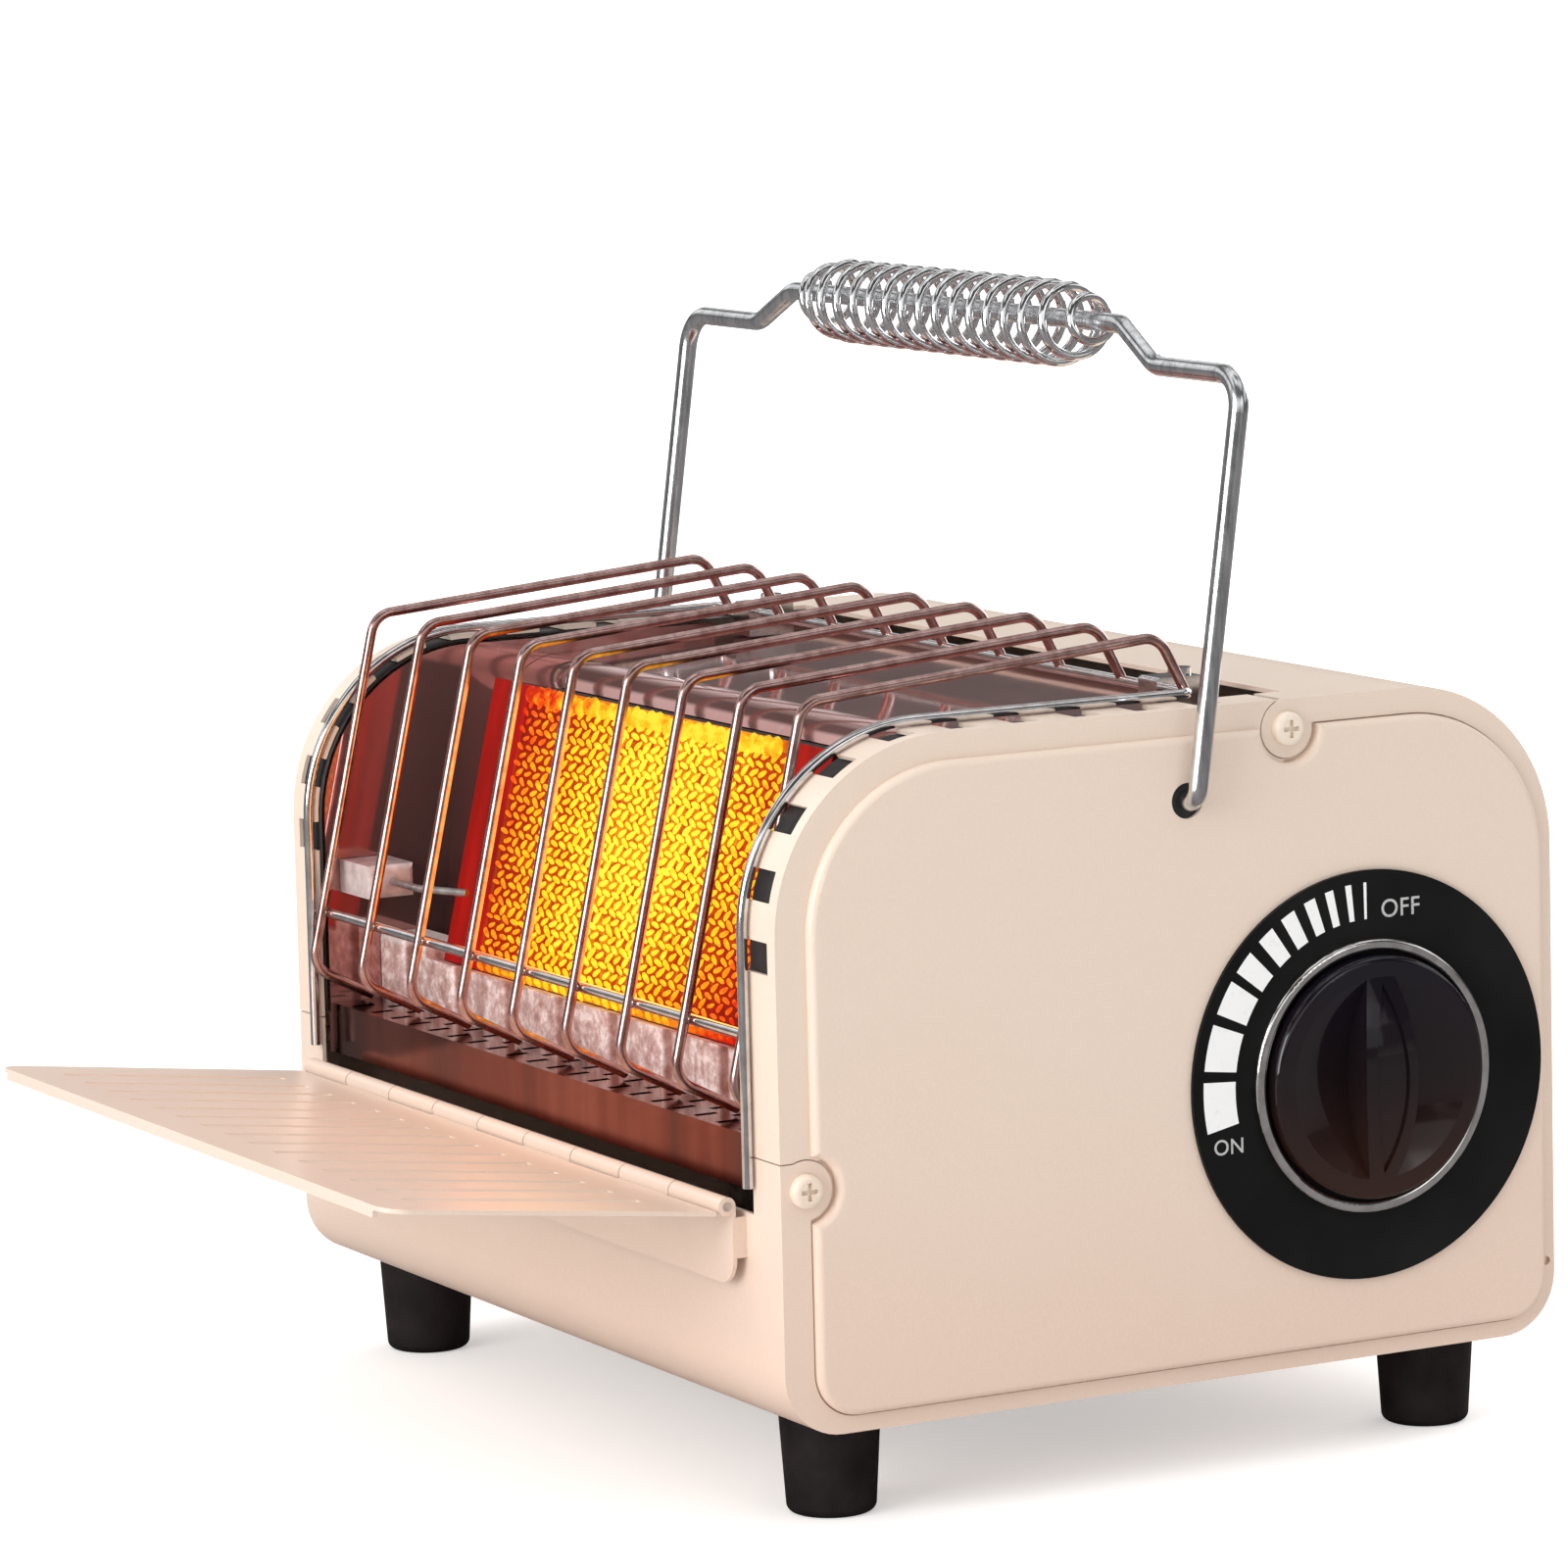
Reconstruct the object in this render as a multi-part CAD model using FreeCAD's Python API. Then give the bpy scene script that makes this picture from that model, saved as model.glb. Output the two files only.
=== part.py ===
"""Portable gas heater: a steel casing on rubber feet, a ceramic burner behind a wire guard,
a fold-up front flap, a rear door over the gas canister bay, and a swinging wire handle.

Millimetres. +Z is up, -Y is the burner side and +X is the knob end.
The origin is on the floor, under the middle of the whole object's box.
"""
import FreeCAD, Part
import math
import os

# Casing
CASE_L = 246.0          # over the end faces, along X
CASE_D = 200.0          # front to rear
CASE_H = 151.0          # without the feet
SHEET = 1.0             # steel sheet
FRONT_TOP_R = 42.0
REAR_TOP_R = 38.0
BOTTOM_R = 14.0
PANEL_FRONT = 7.5       # border round each raised end panel, on its four sides
PANEL_TOP = 6.0
PANEL_LOW = 4.0
PANEL_REAR = 3.3
PANEL_RAISE = 2.0       # how far the end panel stands out of its border
PANEL_EDGE_R = 1.6
SEAM_Z = 82.8           # where the casing ends and the slotted strip begins, in front
SEAM_Y = 29.2           # the same seam on top
STRIP_W = 12.5          # width of the slotted strip on top and in front
OPENING_REAR_Y = 36.5   # rear edge of the top opening
FRONT_WALL_Z = 70.0     # top of the front wall under the flap
FIT = 0.3               # gap between pieces that only lie against each other

# Slots in the strip
SLOT_COUNT = 10
SLOT_PITCH = 15.6
SLOT_LONG = 7.0
SLOT_WIDE = 9.0
SLOT_FIRST_Z = 127.0

# Feet and screws
FOOT_H = 22.0
FOOT_TOP_D = 22.6
FOOT_LOW_D = 19.8
FOOT_X = 102.0
FOOT_Y = 78.0
FOOT_EDGE_R = 2.0
FOOT_SOLE = 6.0         # rubber under the screw
FOOT_SCREW_D = 4.0
FOOT_SCREW_L = 14.0
FOOT_HEAD_H = 2.4
THREAD_FIT = 0.05
SCREW_HEAD_D = 7.6
SCREW_HEAD_H = 2.2
SCREW_D = 3.4
SCREW_TAB_R = 6.6
SCREW_PLAY = 0.3        # between a shank and the hole it goes through
SCREW_SHANK_L = 7.0
SCREW_EDGE_R = 1.4
SCREW_RECESS = (4.0, 1.0, 0.9)    # cross recess: length, width, depth
BITE_GAP = 1.0          # between a screw's tab and the raised panel
TAB_DROP = 6.0          # flat tab under the low screw
LOW_SCREW = (-94.0, 76.5)     # y, z of the screw beside the flap
TOP_SCREW = (30.0, 166.5)     # y, z of the screw beside the handle

# Carry handle
PIVOT_Y = 2.7
PIVOT_Z = 152.9
PIVOT_HOLE_D = 8.0
PIVOT_BEND_R = 3.4
PIVOT_STUB = 5.0        # how far the rod's end reaches inside the end panel
ROD_D = 4.4
LEG_GAP = 1.8           # leg to raised end panel
LEG_LEN = 94.0          # pivot to shoulder line
LEG_LEAN = 8.2          # degrees that the handle leans back at rest
ELBOW_R = 8.0
SHOULDER_LEN = 36.0     # leg to the foot of the ramp
RAMP_LEN = 16.0
GRIP_RISE = 8.5
RAMP_R = 9.0
GRIP_WIRE_D = 2.2
GRIP_TURNS = 17
GRIP_LEN = 134.0
GRIP_MID_R = 8.2        # coil centreline at the middle
GRIP_TAPER = 0.14       # share of the grip over which each end swells
WASHER_R = 6.0
WASHER_T = 1.4

# Wire guard
WIRE_D = 2.4
WIRE_COUNT = 9
WIRE_INSET = 3.3        # outer wires to the side rods of their frame
WIRE_BEND_R = 6.0
GUARD_ANCHOR_Y = -87.5            # where a wire meets the pan
GUARD_LOW = (-103.2, 95.6)        # y, z of the low bend
GUARD_HIGH = (-83.6, 180.0)       # y, z of the front top bend
GUARD_REAR = (6.6, 187.4)         # y, z of the rear top bend
GUARD_FOOT_Y = 13.0               # where a wire comes down on the rear rod
CROSS_ROD_Z = 108.5
RAIL_OVER = 0.4                   # how far a side rod lies over its strip's inner edge
FRAME_FOOT_Z = 76.0
WELD = 0.5                        # how far welded wires sink into each other
CLIP_X = 96.0
CLIP_W = 8.0
CLIP_REAR = 10.0        # from the rear rod's centre to the saddle's rear face
CLIP_FRONT = 2.4
CLIP_OVER = 1.2
CLIP_EDGE_R = 1.0
CLIP_SCREW = (2.6, 1.6, 6.0)      # head radius, head height, distance behind the rod
ROD_PLAY = 0.05

# Front flap
FLAP_W = 214.0
FLAP_LEN = 82.0
FLAP_TILT = 7.0         # degrees above level when open
HINGE_Y_OUT = 4.6       # pin axis in front of the front wall
HINGE_Z = 71.6
HINGE_PIN_D = 2.0
HINGE_KNUCKLE_D = 4.2
HINGE_RUN = 0.06        # radial play of the knuckles on the pin
KNUCKLES = 9
KNUCKLE_GAP = 0.4
LEAF_LOW_Z = 54.0
LEAF_CORNER_R = 6.0
FLAP_SLOTS = 15
FLAP_SLOT_L = 57.0
FLAP_SLOT_W = 3.0
FLAP_SLOT_START = 14.0
FLAP_SLOT_MARGIN = 8.0  # beside the first and the last slot
HINGE_GAP = 0.5         # knuckles to the sheet beside them
FLAP_CORNER_R = 6.0
FLAP_HEM = 2.6

# Burner
PLATE_W = 130.0
PLATE_H = 63.0
PLATE_T = 12.0
PLATE_LEAN = 13.4       # degrees that the burner leans back
PLATE_FOOT = (-80.0, 101.5)       # y, z of the plate's lower front edge
HOUSING_RIM = 3.0       # above and below the tile
HOUSING_SIDE = 19.0     # flat rim beside the tile
HOUSING_DEPTH = 26.0
HOUSING_SET = 1.5       # its front rim behind the tile's face
HOUSING_WALL = 1.5
HOUSING_LEDGE = 3.0     # what the tile's edge rests on
TILE_FIT = 0.2
CELL_HALF = 3.6
CELL_DEPTH = 1.2
CELL_PITCH_X = 10.0
CELL_PITCH_Z = 10.5
SUPPORT_TOP_Z = 102.0
SUPPORT_FRONT_Y = -84.0
SUPPORT_DEPTH = 9.0
RIB_OUT = 2.6           # pleats of the casting's face, one behind each guard wire
RIB_GROOVE = 4.6
RIB_EDGE_R = 1.2

# Reflector and pan
PAN_Z = 86.0            # top of the pan's floor
PAN_LIP_H = 12.0
PAN_FRONT_Y = -97.0
PAN_REAR_Y = -56.0
PAN_SLOT_ROWS = 2
PAN_SLOT_COLS = 20
PAN_SLOT_SIZE = (2.2, 5.4)
PAN_SLOT_PITCH = (10.4, 6.6)
SIDE_LAP = 0.2          # side walls under the strips' inner edges
HOOD_TOP_Z = 166.0
HOOD_BEND_R = 16.0
HOOD_LEAN = 8.0
HOOD_DROP = 8.0         # below the pan's floor
HOOD_LAP = 4.0          # under the casing's top
HOOD_RISE = 3.0
DIVIDER_Y = 10.0
DIVIDER_FOOT = 10.0
DIVIDER_DROP = 4.0      # below the hood

# Gas line
KNOB_Y = 48.6
KNOB_Z = 87.0
BAY_Y = 50.0            # canister axis
BAY_Z = 71.5
BAY_R = 34.5            # a standard canister is 67 across
BAY_LEFT_X = -117.0
BAY_RIGHT_X = 66.0
VALVE_X = 72.0
VALVE_L = 26.0
SPINDLE_D = 6.0
TUBE_D = 22.0
TUBE_WALL = 1.2
TUBE_Y = -18.0
TUBE_Z = 120.0
TUBE_BEND_R = 17.6
TUBE_START = 6.0        # behind the burner box's back
FLARE_L = 14.0
FLARE_OUT = 4.0
PIPE_D = 5.0
PIPE_BEND_R = 10.0
PIPE_PLAY = 0.5
NOZZLE_GAP = 2.0
NOZZLE_TIP = (2.0, 5.0, 5.0)      # radius at its mouth, radius at its root, length
ELBOW_HALF = 5.0
VALVE_HALF = 16.0
VALVE_UP = 17.0         # valve's top over the spindle
VALVE_EDGE_R = 4.0
BONNET_D = 20.0
BRACKET_IN = 10.0       # bracket's inner face behind the end panel
BRACKET_T = 1.5
BRACKET_HALF = (22.0, 14.0)
SOCKET_D = 24.0
SOCKET_NOSE = (10.0, 0.6, 3.3)    # diameter, start and end past the canister's collar
MAGNET_D = 40.0
SPINDLE_START = 10.0    # inside the valve
SPINDLE_REACH = 7.0     # past the raised end panel
SPINDLE_FLAT = (2.0, 1.6)         # start past the panel, and height over the axis
PIEZO_GAP = 0.3
PIEZO_SIZE = (13.7, 8.0, 20.0)    # depth, below and above the spindle
PIEZO_STEM = (2.5, 5.0)
PIEZO_BEHIND = 23.0     # its terminal behind the knob's axis
CRADLE_SPAN = 62.0      # degrees
CRADLE_IN = (8.0, 4.0)  # from the bay's left and right ends
CRADLE_FOOT = (30.0, 24.0)        # along X and across
CRADLE_FOOT_AT = (10.0, 40.0)     # from the cradle's ends

# Knob and dial
DIAL_R = 46.3
DIAL_T = 1.0
RING_R = 31.0
RING_W = 2.6
RING_H = 2.4
RING_EDGE_R = 0.9
DIAL_HOLE = 3.0         # wider than the spindle
KNOB_R = 27.5
KNOB_RIM_H = 4.8        # rim's face over the dial
KNOB_RIM_W = 4.6
KNOB_RIM_EDGE_R = 1.4
KNOB_BOWL_H = 1.4       # lowest point of the bowl
KNOB_BLADE_H = 9.6      # blade's crest over the dial
KNOB_BLADE_W = 13.6
KNOB_BLADE_TAPER = 1.2  # wider at its root
KNOB_BLADE_L = 64.0     # of the whole pointed oval, which the rim cuts short
KNOB_DISH = (8.8, 43.0, 0.7)      # dished face of the blade: width, length, depth
KNOB_GAP = 0.4
BORE_FIT = 0.05

# Rear door over the canister bay
DOOR_LOW_Z = 36.0
BARREL_INSET = 14.0     # door's barrel, short of its sides
DOOR_HIGH_Z = 128.0
DOOR_W = 216.0
DOOR_GAP = 0.8
DOOR_CORNER_R = 8.0
DOOR_RIM = 6.0
DOOR_SLOTS = 11
DOOR_PIN_D = 2.0
DOOR_BARREL_D = 4.2
DOOR_SLOT_PITCH = 15.0
DOOR_SLOT_W = 4.0
DOOR_SLOT_Z = (96.0, 116.0)
PULL_R = 9.0            # finger dip at the door's top edge
EAR_T = 3.0             # the casing's two hinge ears for the door
EAR_GAP = 0.5
EAR_R = 2.2
CATCH_W = 26.0
CATCH_H = 6.0
CATCH_T = 6.0
CATCH_TONGUE = (2.0, 3.0)         # narrower at each end, and its thickness

# Slots in the floor
FLOOR_SLOT_ROWS = 3
FLOOR_SLOT_COLS = 9
FLOOR_SLOT_PITCH = (18.0, 26.0)
FLOOR_SLOT_SIZE = (4.0, 14.0)
FLOOR_SLOT_Y = -10.0    # middle of the three rows

# Spark electrode and its lead
ELECTRODE_X = -93.0
ELECTRODE_Y = -88.0
ELECTRODE_Z = 117.0
ELECTRODE_D = 1.8
ELECTRODE_REACH = (14.0, 28.0)    # straight run, and the whole, along X
INSULATOR_W = 12.0
INSULATOR_H = 8.0
INSULATOR_OUT = 3.0     # past the outside of the chamber's wall
INSULATOR_EDGE_R = 1.5
LEAD_D = 3.0
LEAD_Z = 126.0
LEAD_RISE = 10.0        # higher over the canister bay
LEAD_BEND_R = 8.0
PIPE_X = 92.0
TUBE_END_X = 74.0
PIEZO_STEM_X = VALVE_X + VALVE_L / 2
PIEZO_STEM_Y = KNOB_Y + PIEZO_BEHIND

END_X = CASE_L / 2
BACK_Y = CASE_D / 2
SIDE_X = END_X - STRIP_W + SIDE_LAP - SHEET  # inner face of the reflector's side walls
TOP_Z = FOOT_H + CASE_H
PANEL_X = END_X + PANEL_RAISE
LEG_X = PANEL_X + LEG_GAP + ROD_D / 2
PIN_Y = -BACK_Y - HINGE_Y_OUT
FRAME_X = END_X - STRIP_W + RAIL_OVER
WIRE_PITCH = 2 * (FRAME_X - WIRE_INSET) / (WIRE_COUNT - 1)
KNOB_X = PANEL_X + DIAL_T + KNOB_GAP
FRAME_TOP_Z = TOP_Z + FIT + WIRE_D / 2
DOOR_PIN_Y = BACK_Y - DOOR_BARREL_D / 2
DOOR_PIN_Z = DOOR_LOW_Z + DOOR_BARREL_D / 2 + 0.1
BARREL_X = DOOR_W / 2 - BARREL_INSET
PAST = 1.0              # how far a cutting block runs past what it cuts
BIG = 500.0

parts = {}


def vec(x, y, z):
    return FreeCAD.Vector(x, y, z)


def box(x0, x1, y0, y1, z0, z1):
    return Part.makeBox(x1 - x0, y1 - y0, z1 - z0, vec(x0, y0, z0))


def rod_x(x0, x1, y, z, diameter):
    return Part.makeCylinder(diameter / 2, x1 - x0, vec(x0, y, z), vec(1, 0, 0))


def fused(solids):
    whole = solids[0]
    if len(solids) > 1:
        whole = whole.multiFuse(solids[1:])
    return whole.removeSplitter()


def mirrored(shape):
    """The same piece for the other end of the heater."""
    return shape.mirror(vec(0, 0, 0), vec(1, 0, 0))


def rounded_edges(points, radii, closed):
    """Straight runs joined by tangent arcs. radii has one value for each point."""
    count = len(points)
    corners = []
    for i, here in enumerate(points):
        inner = closed or 0 < i < count - 1
        if not inner or radii[i] <= 0:
            corners.append((here, None, here))
            continue
        back = (points[i - 1] - here).normalize()
        ahead = (points[(i + 1) % count] - here).normalize()
        half = back.getAngle(ahead) / 2
        reach = radii[i] / math.tan(half)
        middle = (back + ahead).normalize()
        crown = here + middle * (radii[i] / math.sin(half) - radii[i])
        corners.append((here + back * reach, crown, here + ahead * reach))
    edges = []
    for i, (first, crown, last) in enumerate(corners):
        if crown is not None:
            edges.append(Part.Arc(first, crown, last).toShape())
        if i + 1 < count or closed:
            nxt = corners[(i + 1) % count][0]
            if last.distanceToPoint(nxt) > 1e-6:
                edges.append(Part.LineSegment(last, nxt).toShape())
    return edges


def loop(points, radii):
    return Part.Wire(Part.__sortEdges__(rounded_edges(points, radii, True)))


def slab(points, radii, direction):
    """A flat plate from a rounded outline, pushed along direction."""
    return Part.Face(loop(points, radii)).extrude(direction)


def wire_rod(points, bend_r, diameter):
    """A round rod bent along the points."""
    edges = rounded_edges(points, [bend_r] * len(points), False)
    path = Part.Wire(edges)
    start = (points[1] - points[0]).normalize()
    ring = Part.Wire(Part.makeCircle(diameter / 2, points[0], start))
    return path.makePipeShell([ring], True, False)


def case_points(x, inset):
    """Corners of the casing's end outline, drawn in by inset."""
    front, back = -BACK_Y + inset, BACK_Y - inset
    low, high = FOOT_H + inset, TOP_Z - inset
    return [vec(x, front, low), vec(x, back, low), vec(x, back, high), vec(x, front, high)]


def case_radii(inset):
    return [BOTTOM_R - inset, BOTTOM_R - inset, REAR_TOP_R - inset, FRONT_TOP_R - inset]


def case_slab(x0, x1, inset):
    return slab(case_points(x0, inset), case_radii(inset), vec(x1 - x0, 0, 0))


def open_zone(x0, x1, rear_y, low_z):
    """The front and top of the casing that the burner looks out of."""
    return box(x0, x1, -BIG, rear_y, low_z, BIG)


def screw_discs(radius, x0, x1):
    return [rod_x(x0, x1, y, z, 2 * radius) for y, z in (LOW_SCREW, TOP_SCREW)]


def panel_slab(x0, x1, inset):
    """The raised end panel's outline as a slab, drawn in by inset."""
    front, back = -BACK_Y + PANEL_FRONT + inset, BACK_Y - PANEL_REAR - inset
    low, high = FOOT_H + PANEL_LOW + inset, TOP_Z - PANEL_TOP - inset
    points = [vec(x0, front, low), vec(x0, back, low), vec(x0, back, high), vec(x0, front, high)]
    radii = [BOTTOM_R - PANEL_LOW, BOTTOM_R - PANEL_LOW, REAR_TOP_R - PANEL_REAR, FRONT_TOP_R - PANEL_TOP]
    return slab(points, [r - inset for r in radii], vec(x1 - x0, 0, 0))


def raised_solid(x0, x1, inset):
    """The end panel's raised field, with a bite for each screw."""
    field = panel_slab(x0, x1, inset)
    bite = SCREW_TAB_R + BITE_GAP + inset
    for disc in screw_discs(bite, x0 - PAST, x1 + PAST):
        field = field.cut(disc)
    outer = [e for e in field.Edges if abs(e.BoundBox.XMin - x1) < 1e-6]
    return field.makeFillet(PANEL_EDGE_R, outer)


def slot_tools():
    """Cutting blocks for the row of slots that follows the front and top of the strip."""
    straight = TOP_Z - FRONT_TOP_R - SLOT_FIRST_Z
    arc = math.pi / 2 * FRONT_TOP_R
    tools = []
    x1 = END_X - STRIP_W + SLOT_WIDE
    for i in range(SLOT_COUNT):
        run = i * SLOT_PITCH
        block = box(END_X - STRIP_W - PAST, x1, -SHEET * 2, SHEET * 2, -SLOT_LONG / 2, SLOT_LONG / 2)
        if run <= straight:
            block.translate(vec(0, -BACK_Y, SLOT_FIRST_Z + run))
        elif run <= straight + arc:
            turn = (run - straight) / FRONT_TOP_R
            block.translate(vec(0, -FRONT_TOP_R, 0))
            block.rotate(vec(0, 0, 0), vec(1, 0, 0), -math.degrees(turn))
            block.translate(vec(0, -BACK_Y + FRONT_TOP_R, TOP_Z - FRONT_TOP_R))
        else:
            block.rotate(vec(0, 0, 0), vec(1, 0, 0), -90)
            block.translate(vec(0, -BACK_Y + FRONT_TOP_R + run - straight - arc, TOP_Z))
        tools.append(block)
    return tools


def make_end_cap():
    """Pressed end panel for the knob end, with the slotted strip turned over the burner side."""
    plate_x = END_X - SHEET
    inner_x = plate_x - SHEET
    plate = case_slab(inner_x, plate_x, SHEET + FIT)
    for disc in screw_discs(SCREW_D / 2 + SCREW_PLAY, inner_x - PAST, plate_x + PAST):
        plate = plate.cut(disc)
    hollow = raised_solid(inner_x - PAST, PANEL_X - SHEET, SHEET)
    field = raised_solid(inner_x, PANEL_X, 0)
    zone = open_zone(0, BIG, SEAM_Y, SEAM_Z)
    border = case_slab(plate_x, END_X, 0).cut(field).common(zone)
    strip = case_slab(END_X - STRIP_W, END_X, 0).cut(case_slab(0, BIG, SHEET)).common(zone)
    strip = strip.cut(Part.makeCompound(slot_tools()))
    for disc in screw_discs(SCREW_TAB_R + FIT, 0, BIG):
        border = border.cut(disc)
        strip = strip.cut(disc)
    cap = fused([plate, field, border, strip]).cut(hollow)
    return cap.cut(rod_x(0, BIG, PIVOT_Y, PIVOT_Z, PIVOT_HOLE_D))


def make_casing():
    """Wrapped sheet: low front wall, floor, rear wall and the rear half of the top."""
    wall = case_slab(-END_X, END_X, 0).cut(case_slab(-BIG, BIG, SHEET))
    flange = case_slab(END_X - SHEET, END_X, 0).cut(panel_slab(0, BIG, -FIT))
    zone_end = open_zone(-BIG, BIG, SEAM_Y + FIT, SEAM_Z - FIT)
    inner = END_X - STRIP_W
    zone_mid = open_zone(-inner, inner, OPENING_REAR_Y, FRONT_WALL_Z)
    solid = fused([wall, flange, mirrored(flange)]).cut(zone_end).cut(zone_mid)
    tabs = [box(END_X - SHEET, END_X, -BACK_Y + SHEET, LOW_SCREW[0], LOW_SCREW[1] - TAB_DROP, LOW_SCREW[1])]
    tabs += screw_discs(SCREW_TAB_R, END_X - SHEET, END_X)
    outline = case_slab(0, BIG, 0)
    tabs = [t.common(outline) for t in tabs]
    tabs.append(door_ear())
    solid = solid.cut(door_slab(DOOR_GAP, BACK_Y - 2 * SHEET, 4 * SHEET))
    solid = fused([solid] + tabs + [mirrored(t) for t in tabs])
    solid = solid.cut(rod_x(-DOOR_W, DOOR_W, DOOR_PIN_Y, DOOR_PIN_Z, DOOR_PIN_D))
    for disc in screw_discs(SCREW_D / 2 + SCREW_PLAY, 0, BIG):
        solid = solid.cut(disc).cut(mirrored(disc))
    for sx in (-1, 1):
        for y in (-FOOT_Y, FOOT_Y):
            hole_r = FOOT_SCREW_D / 2 + SCREW_PLAY
            hole = Part.makeCylinder(hole_r, 3 * SHEET, vec(sx * FOOT_X, y, FOOT_H - SHEET))
            solid = solid.cut(hole)
    half_w, half_l = FLOOR_SLOT_SIZE[0] / 2, FLOOR_SLOT_SIZE[1] / 2
    for row in range(FLOOR_SLOT_ROWS):
        y = FLOOR_SLOT_Y + (row - (FLOOR_SLOT_ROWS - 1) / 2) * FLOOR_SLOT_PITCH[1]
        for col in range(FLOOR_SLOT_COLS):
            x = (col - (FLOOR_SLOT_COLS - 1) / 2) * FLOOR_SLOT_PITCH[0]
            slot = box(x - half_w, x + half_w, y - half_l, y + half_l, FOOT_H - SHEET, FOOT_H + 2 * SHEET)
            solid = solid.cut(slot)
    return solid


def door_ear():
    """Hinge ear that stands up from the sill into a notch of the door."""
    x0 = BARREL_X + EAR_GAP
    root = box(x0, x0 + EAR_T, DOOR_PIN_Y - EAR_R - SHEET, BACK_Y - SHEET / 2,
               FOOT_H + BOTTOM_R / 2, DOOR_LOW_Z - DOOR_GAP)
    neck = box(x0, x0 + EAR_T, DOOR_PIN_Y - EAR_R - SHEET, DOOR_PIN_Y, DOOR_LOW_Z - DOOR_GAP - SHEET, DOOR_PIN_Z)
    eye = rod_x(x0, x0 + EAR_T, DOOR_PIN_Y, DOOR_PIN_Z, 2 * EAR_R)
    return fused([root, neck, eye]).common(case_slab(-BIG, BIG, SHEET / 2))


def door_slab(grow, y0, depth):
    """The rear door's outline as a slab, grown all round."""
    half = DOOR_W / 2 + grow
    low, high = DOOR_LOW_Z - grow, DOOR_HIGH_Z + grow
    points = [vec(-half, y0, low), vec(half, y0, low), vec(half, y0, high), vec(-half, y0, high)]
    top_r = DOOR_CORNER_R + grow
    return slab(points, [0, 0, top_r, top_r], vec(0, depth, 0))


def make_door():
    """Rear door with a turned-in rim, a row of slots and a finger pull at its top."""
    skin = door_slab(0, BACK_Y - SHEET, SHEET)
    rim = door_slab(0, BACK_Y - DOOR_RIM, DOOR_RIM).cut(door_slab(-SHEET, BACK_Y - DOOR_RIM - PAST, DOOR_RIM + 2 * PAST))
    door = fused([skin, rim])
    for i in range(DOOR_SLOTS):
        x = (i - (DOOR_SLOTS - 1) / 2) * DOOR_SLOT_PITCH
        half = DOOR_SLOT_W / 2
        door = door.cut(box(x - half, x + half, BACK_Y - 2 * SHEET, BACK_Y + SHEET, *DOOR_SLOT_Z))
    pull = Part.makeCylinder(PULL_R, DOOR_RIM, vec(0, BACK_Y - 2 * SHEET, DOOR_HIGH_Z), vec(0, 1, 0))
    door = door.cut(pull)
    for side in (-1, 1):
        middle = side * (BARREL_X + EAR_GAP + EAR_T / 2)
        half = EAR_T / 2 + EAR_GAP
        low = DOOR_LOW_Z - PAST
        inside = box(middle - half, middle + half, BACK_Y - DOOR_RIM - PAST, BACK_Y - SHEET,
                     low, DOOR_PIN_Z + DOOR_RIM)
        outside = box(middle - half, middle + half, BACK_Y - DOOR_RIM, BACK_Y + PAST,
                      low, DOOR_PIN_Z + EAR_R + 2 * FIT)
        door = door.cut(inside).cut(outside)
    barrel = rod_x(-BARREL_X, BARREL_X, DOOR_PIN_Y, DOOR_PIN_Z, DOOR_BARREL_D)
    bore = rod_x(-DOOR_W, DOOR_W, DOOR_PIN_Y, DOOR_PIN_Z, DOOR_PIN_D + 2 * HINGE_RUN)
    return fused([door, barrel]).cut(bore)


def make_door_pin():
    reach = BARREL_X + EAR_GAP + EAR_T + PAST
    return rod_x(-reach, reach, DOOR_PIN_Y, DOOR_PIN_Z, DOOR_PIN_D)


def make_door_catch():
    """Magnet catch on the rear wall, over the door's top rim."""
    z0, z1 = DOOR_HIGH_Z + DOOR_GAP + FIT, DOOR_HIGH_Z + DOOR_GAP + FIT + CATCH_H
    half, y1 = CATCH_W / 2, BACK_Y - SHEET
    body = box(-half, half, y1 - CATCH_T, y1, z0, z1)
    back = BACK_Y - DOOR_RIM - FIT
    narrow, thick = CATCH_TONGUE
    tongue = box(-half + narrow, half - narrow, back - thick, back, DOOR_HIGH_Z - CATCH_H, z1)
    return body.fuse(tongue).removeSplitter()


def make_foot(x, y):
    """Tapered rubber foot, hollow from above for its screw."""
    low, high = FOOT_LOW_D / 2, FOOT_TOP_D / 2
    foot = Part.makeCone(low, high, FOOT_H, vec(x, y, 0))
    edge = [e for e in foot.Edges if e.BoundBox.ZMax < 0.01 and e.BoundBox.XLength > 1]
    foot = foot.makeFillet(FOOT_EDGE_R, edge)
    hole = Part.makeCylinder(FOOT_SCREW_D / 2, FOOT_H - FOOT_SOLE, vec(x, y, FOOT_SOLE))
    return foot.cut(hole)


def make_foot_screws():
    """Screws that go down through the casing's floor into the feet."""
    screws = []
    seat = FOOT_H + SHEET
    for x in (-FOOT_X, FOOT_X):
        for y in (-FOOT_Y, FOOT_Y):
            head = Part.makeCylinder(FOOT_SCREW_D, FOOT_HEAD_H, vec(x, y, seat))
            shank = Part.makeCylinder(FOOT_SCREW_D / 2 - THREAD_FIT, FOOT_SCREW_L, vec(x, y, seat - FOOT_SCREW_L))
            screws.append(head.fuse(shank).removeSplitter())
    return Part.makeCompound(screws)


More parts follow.
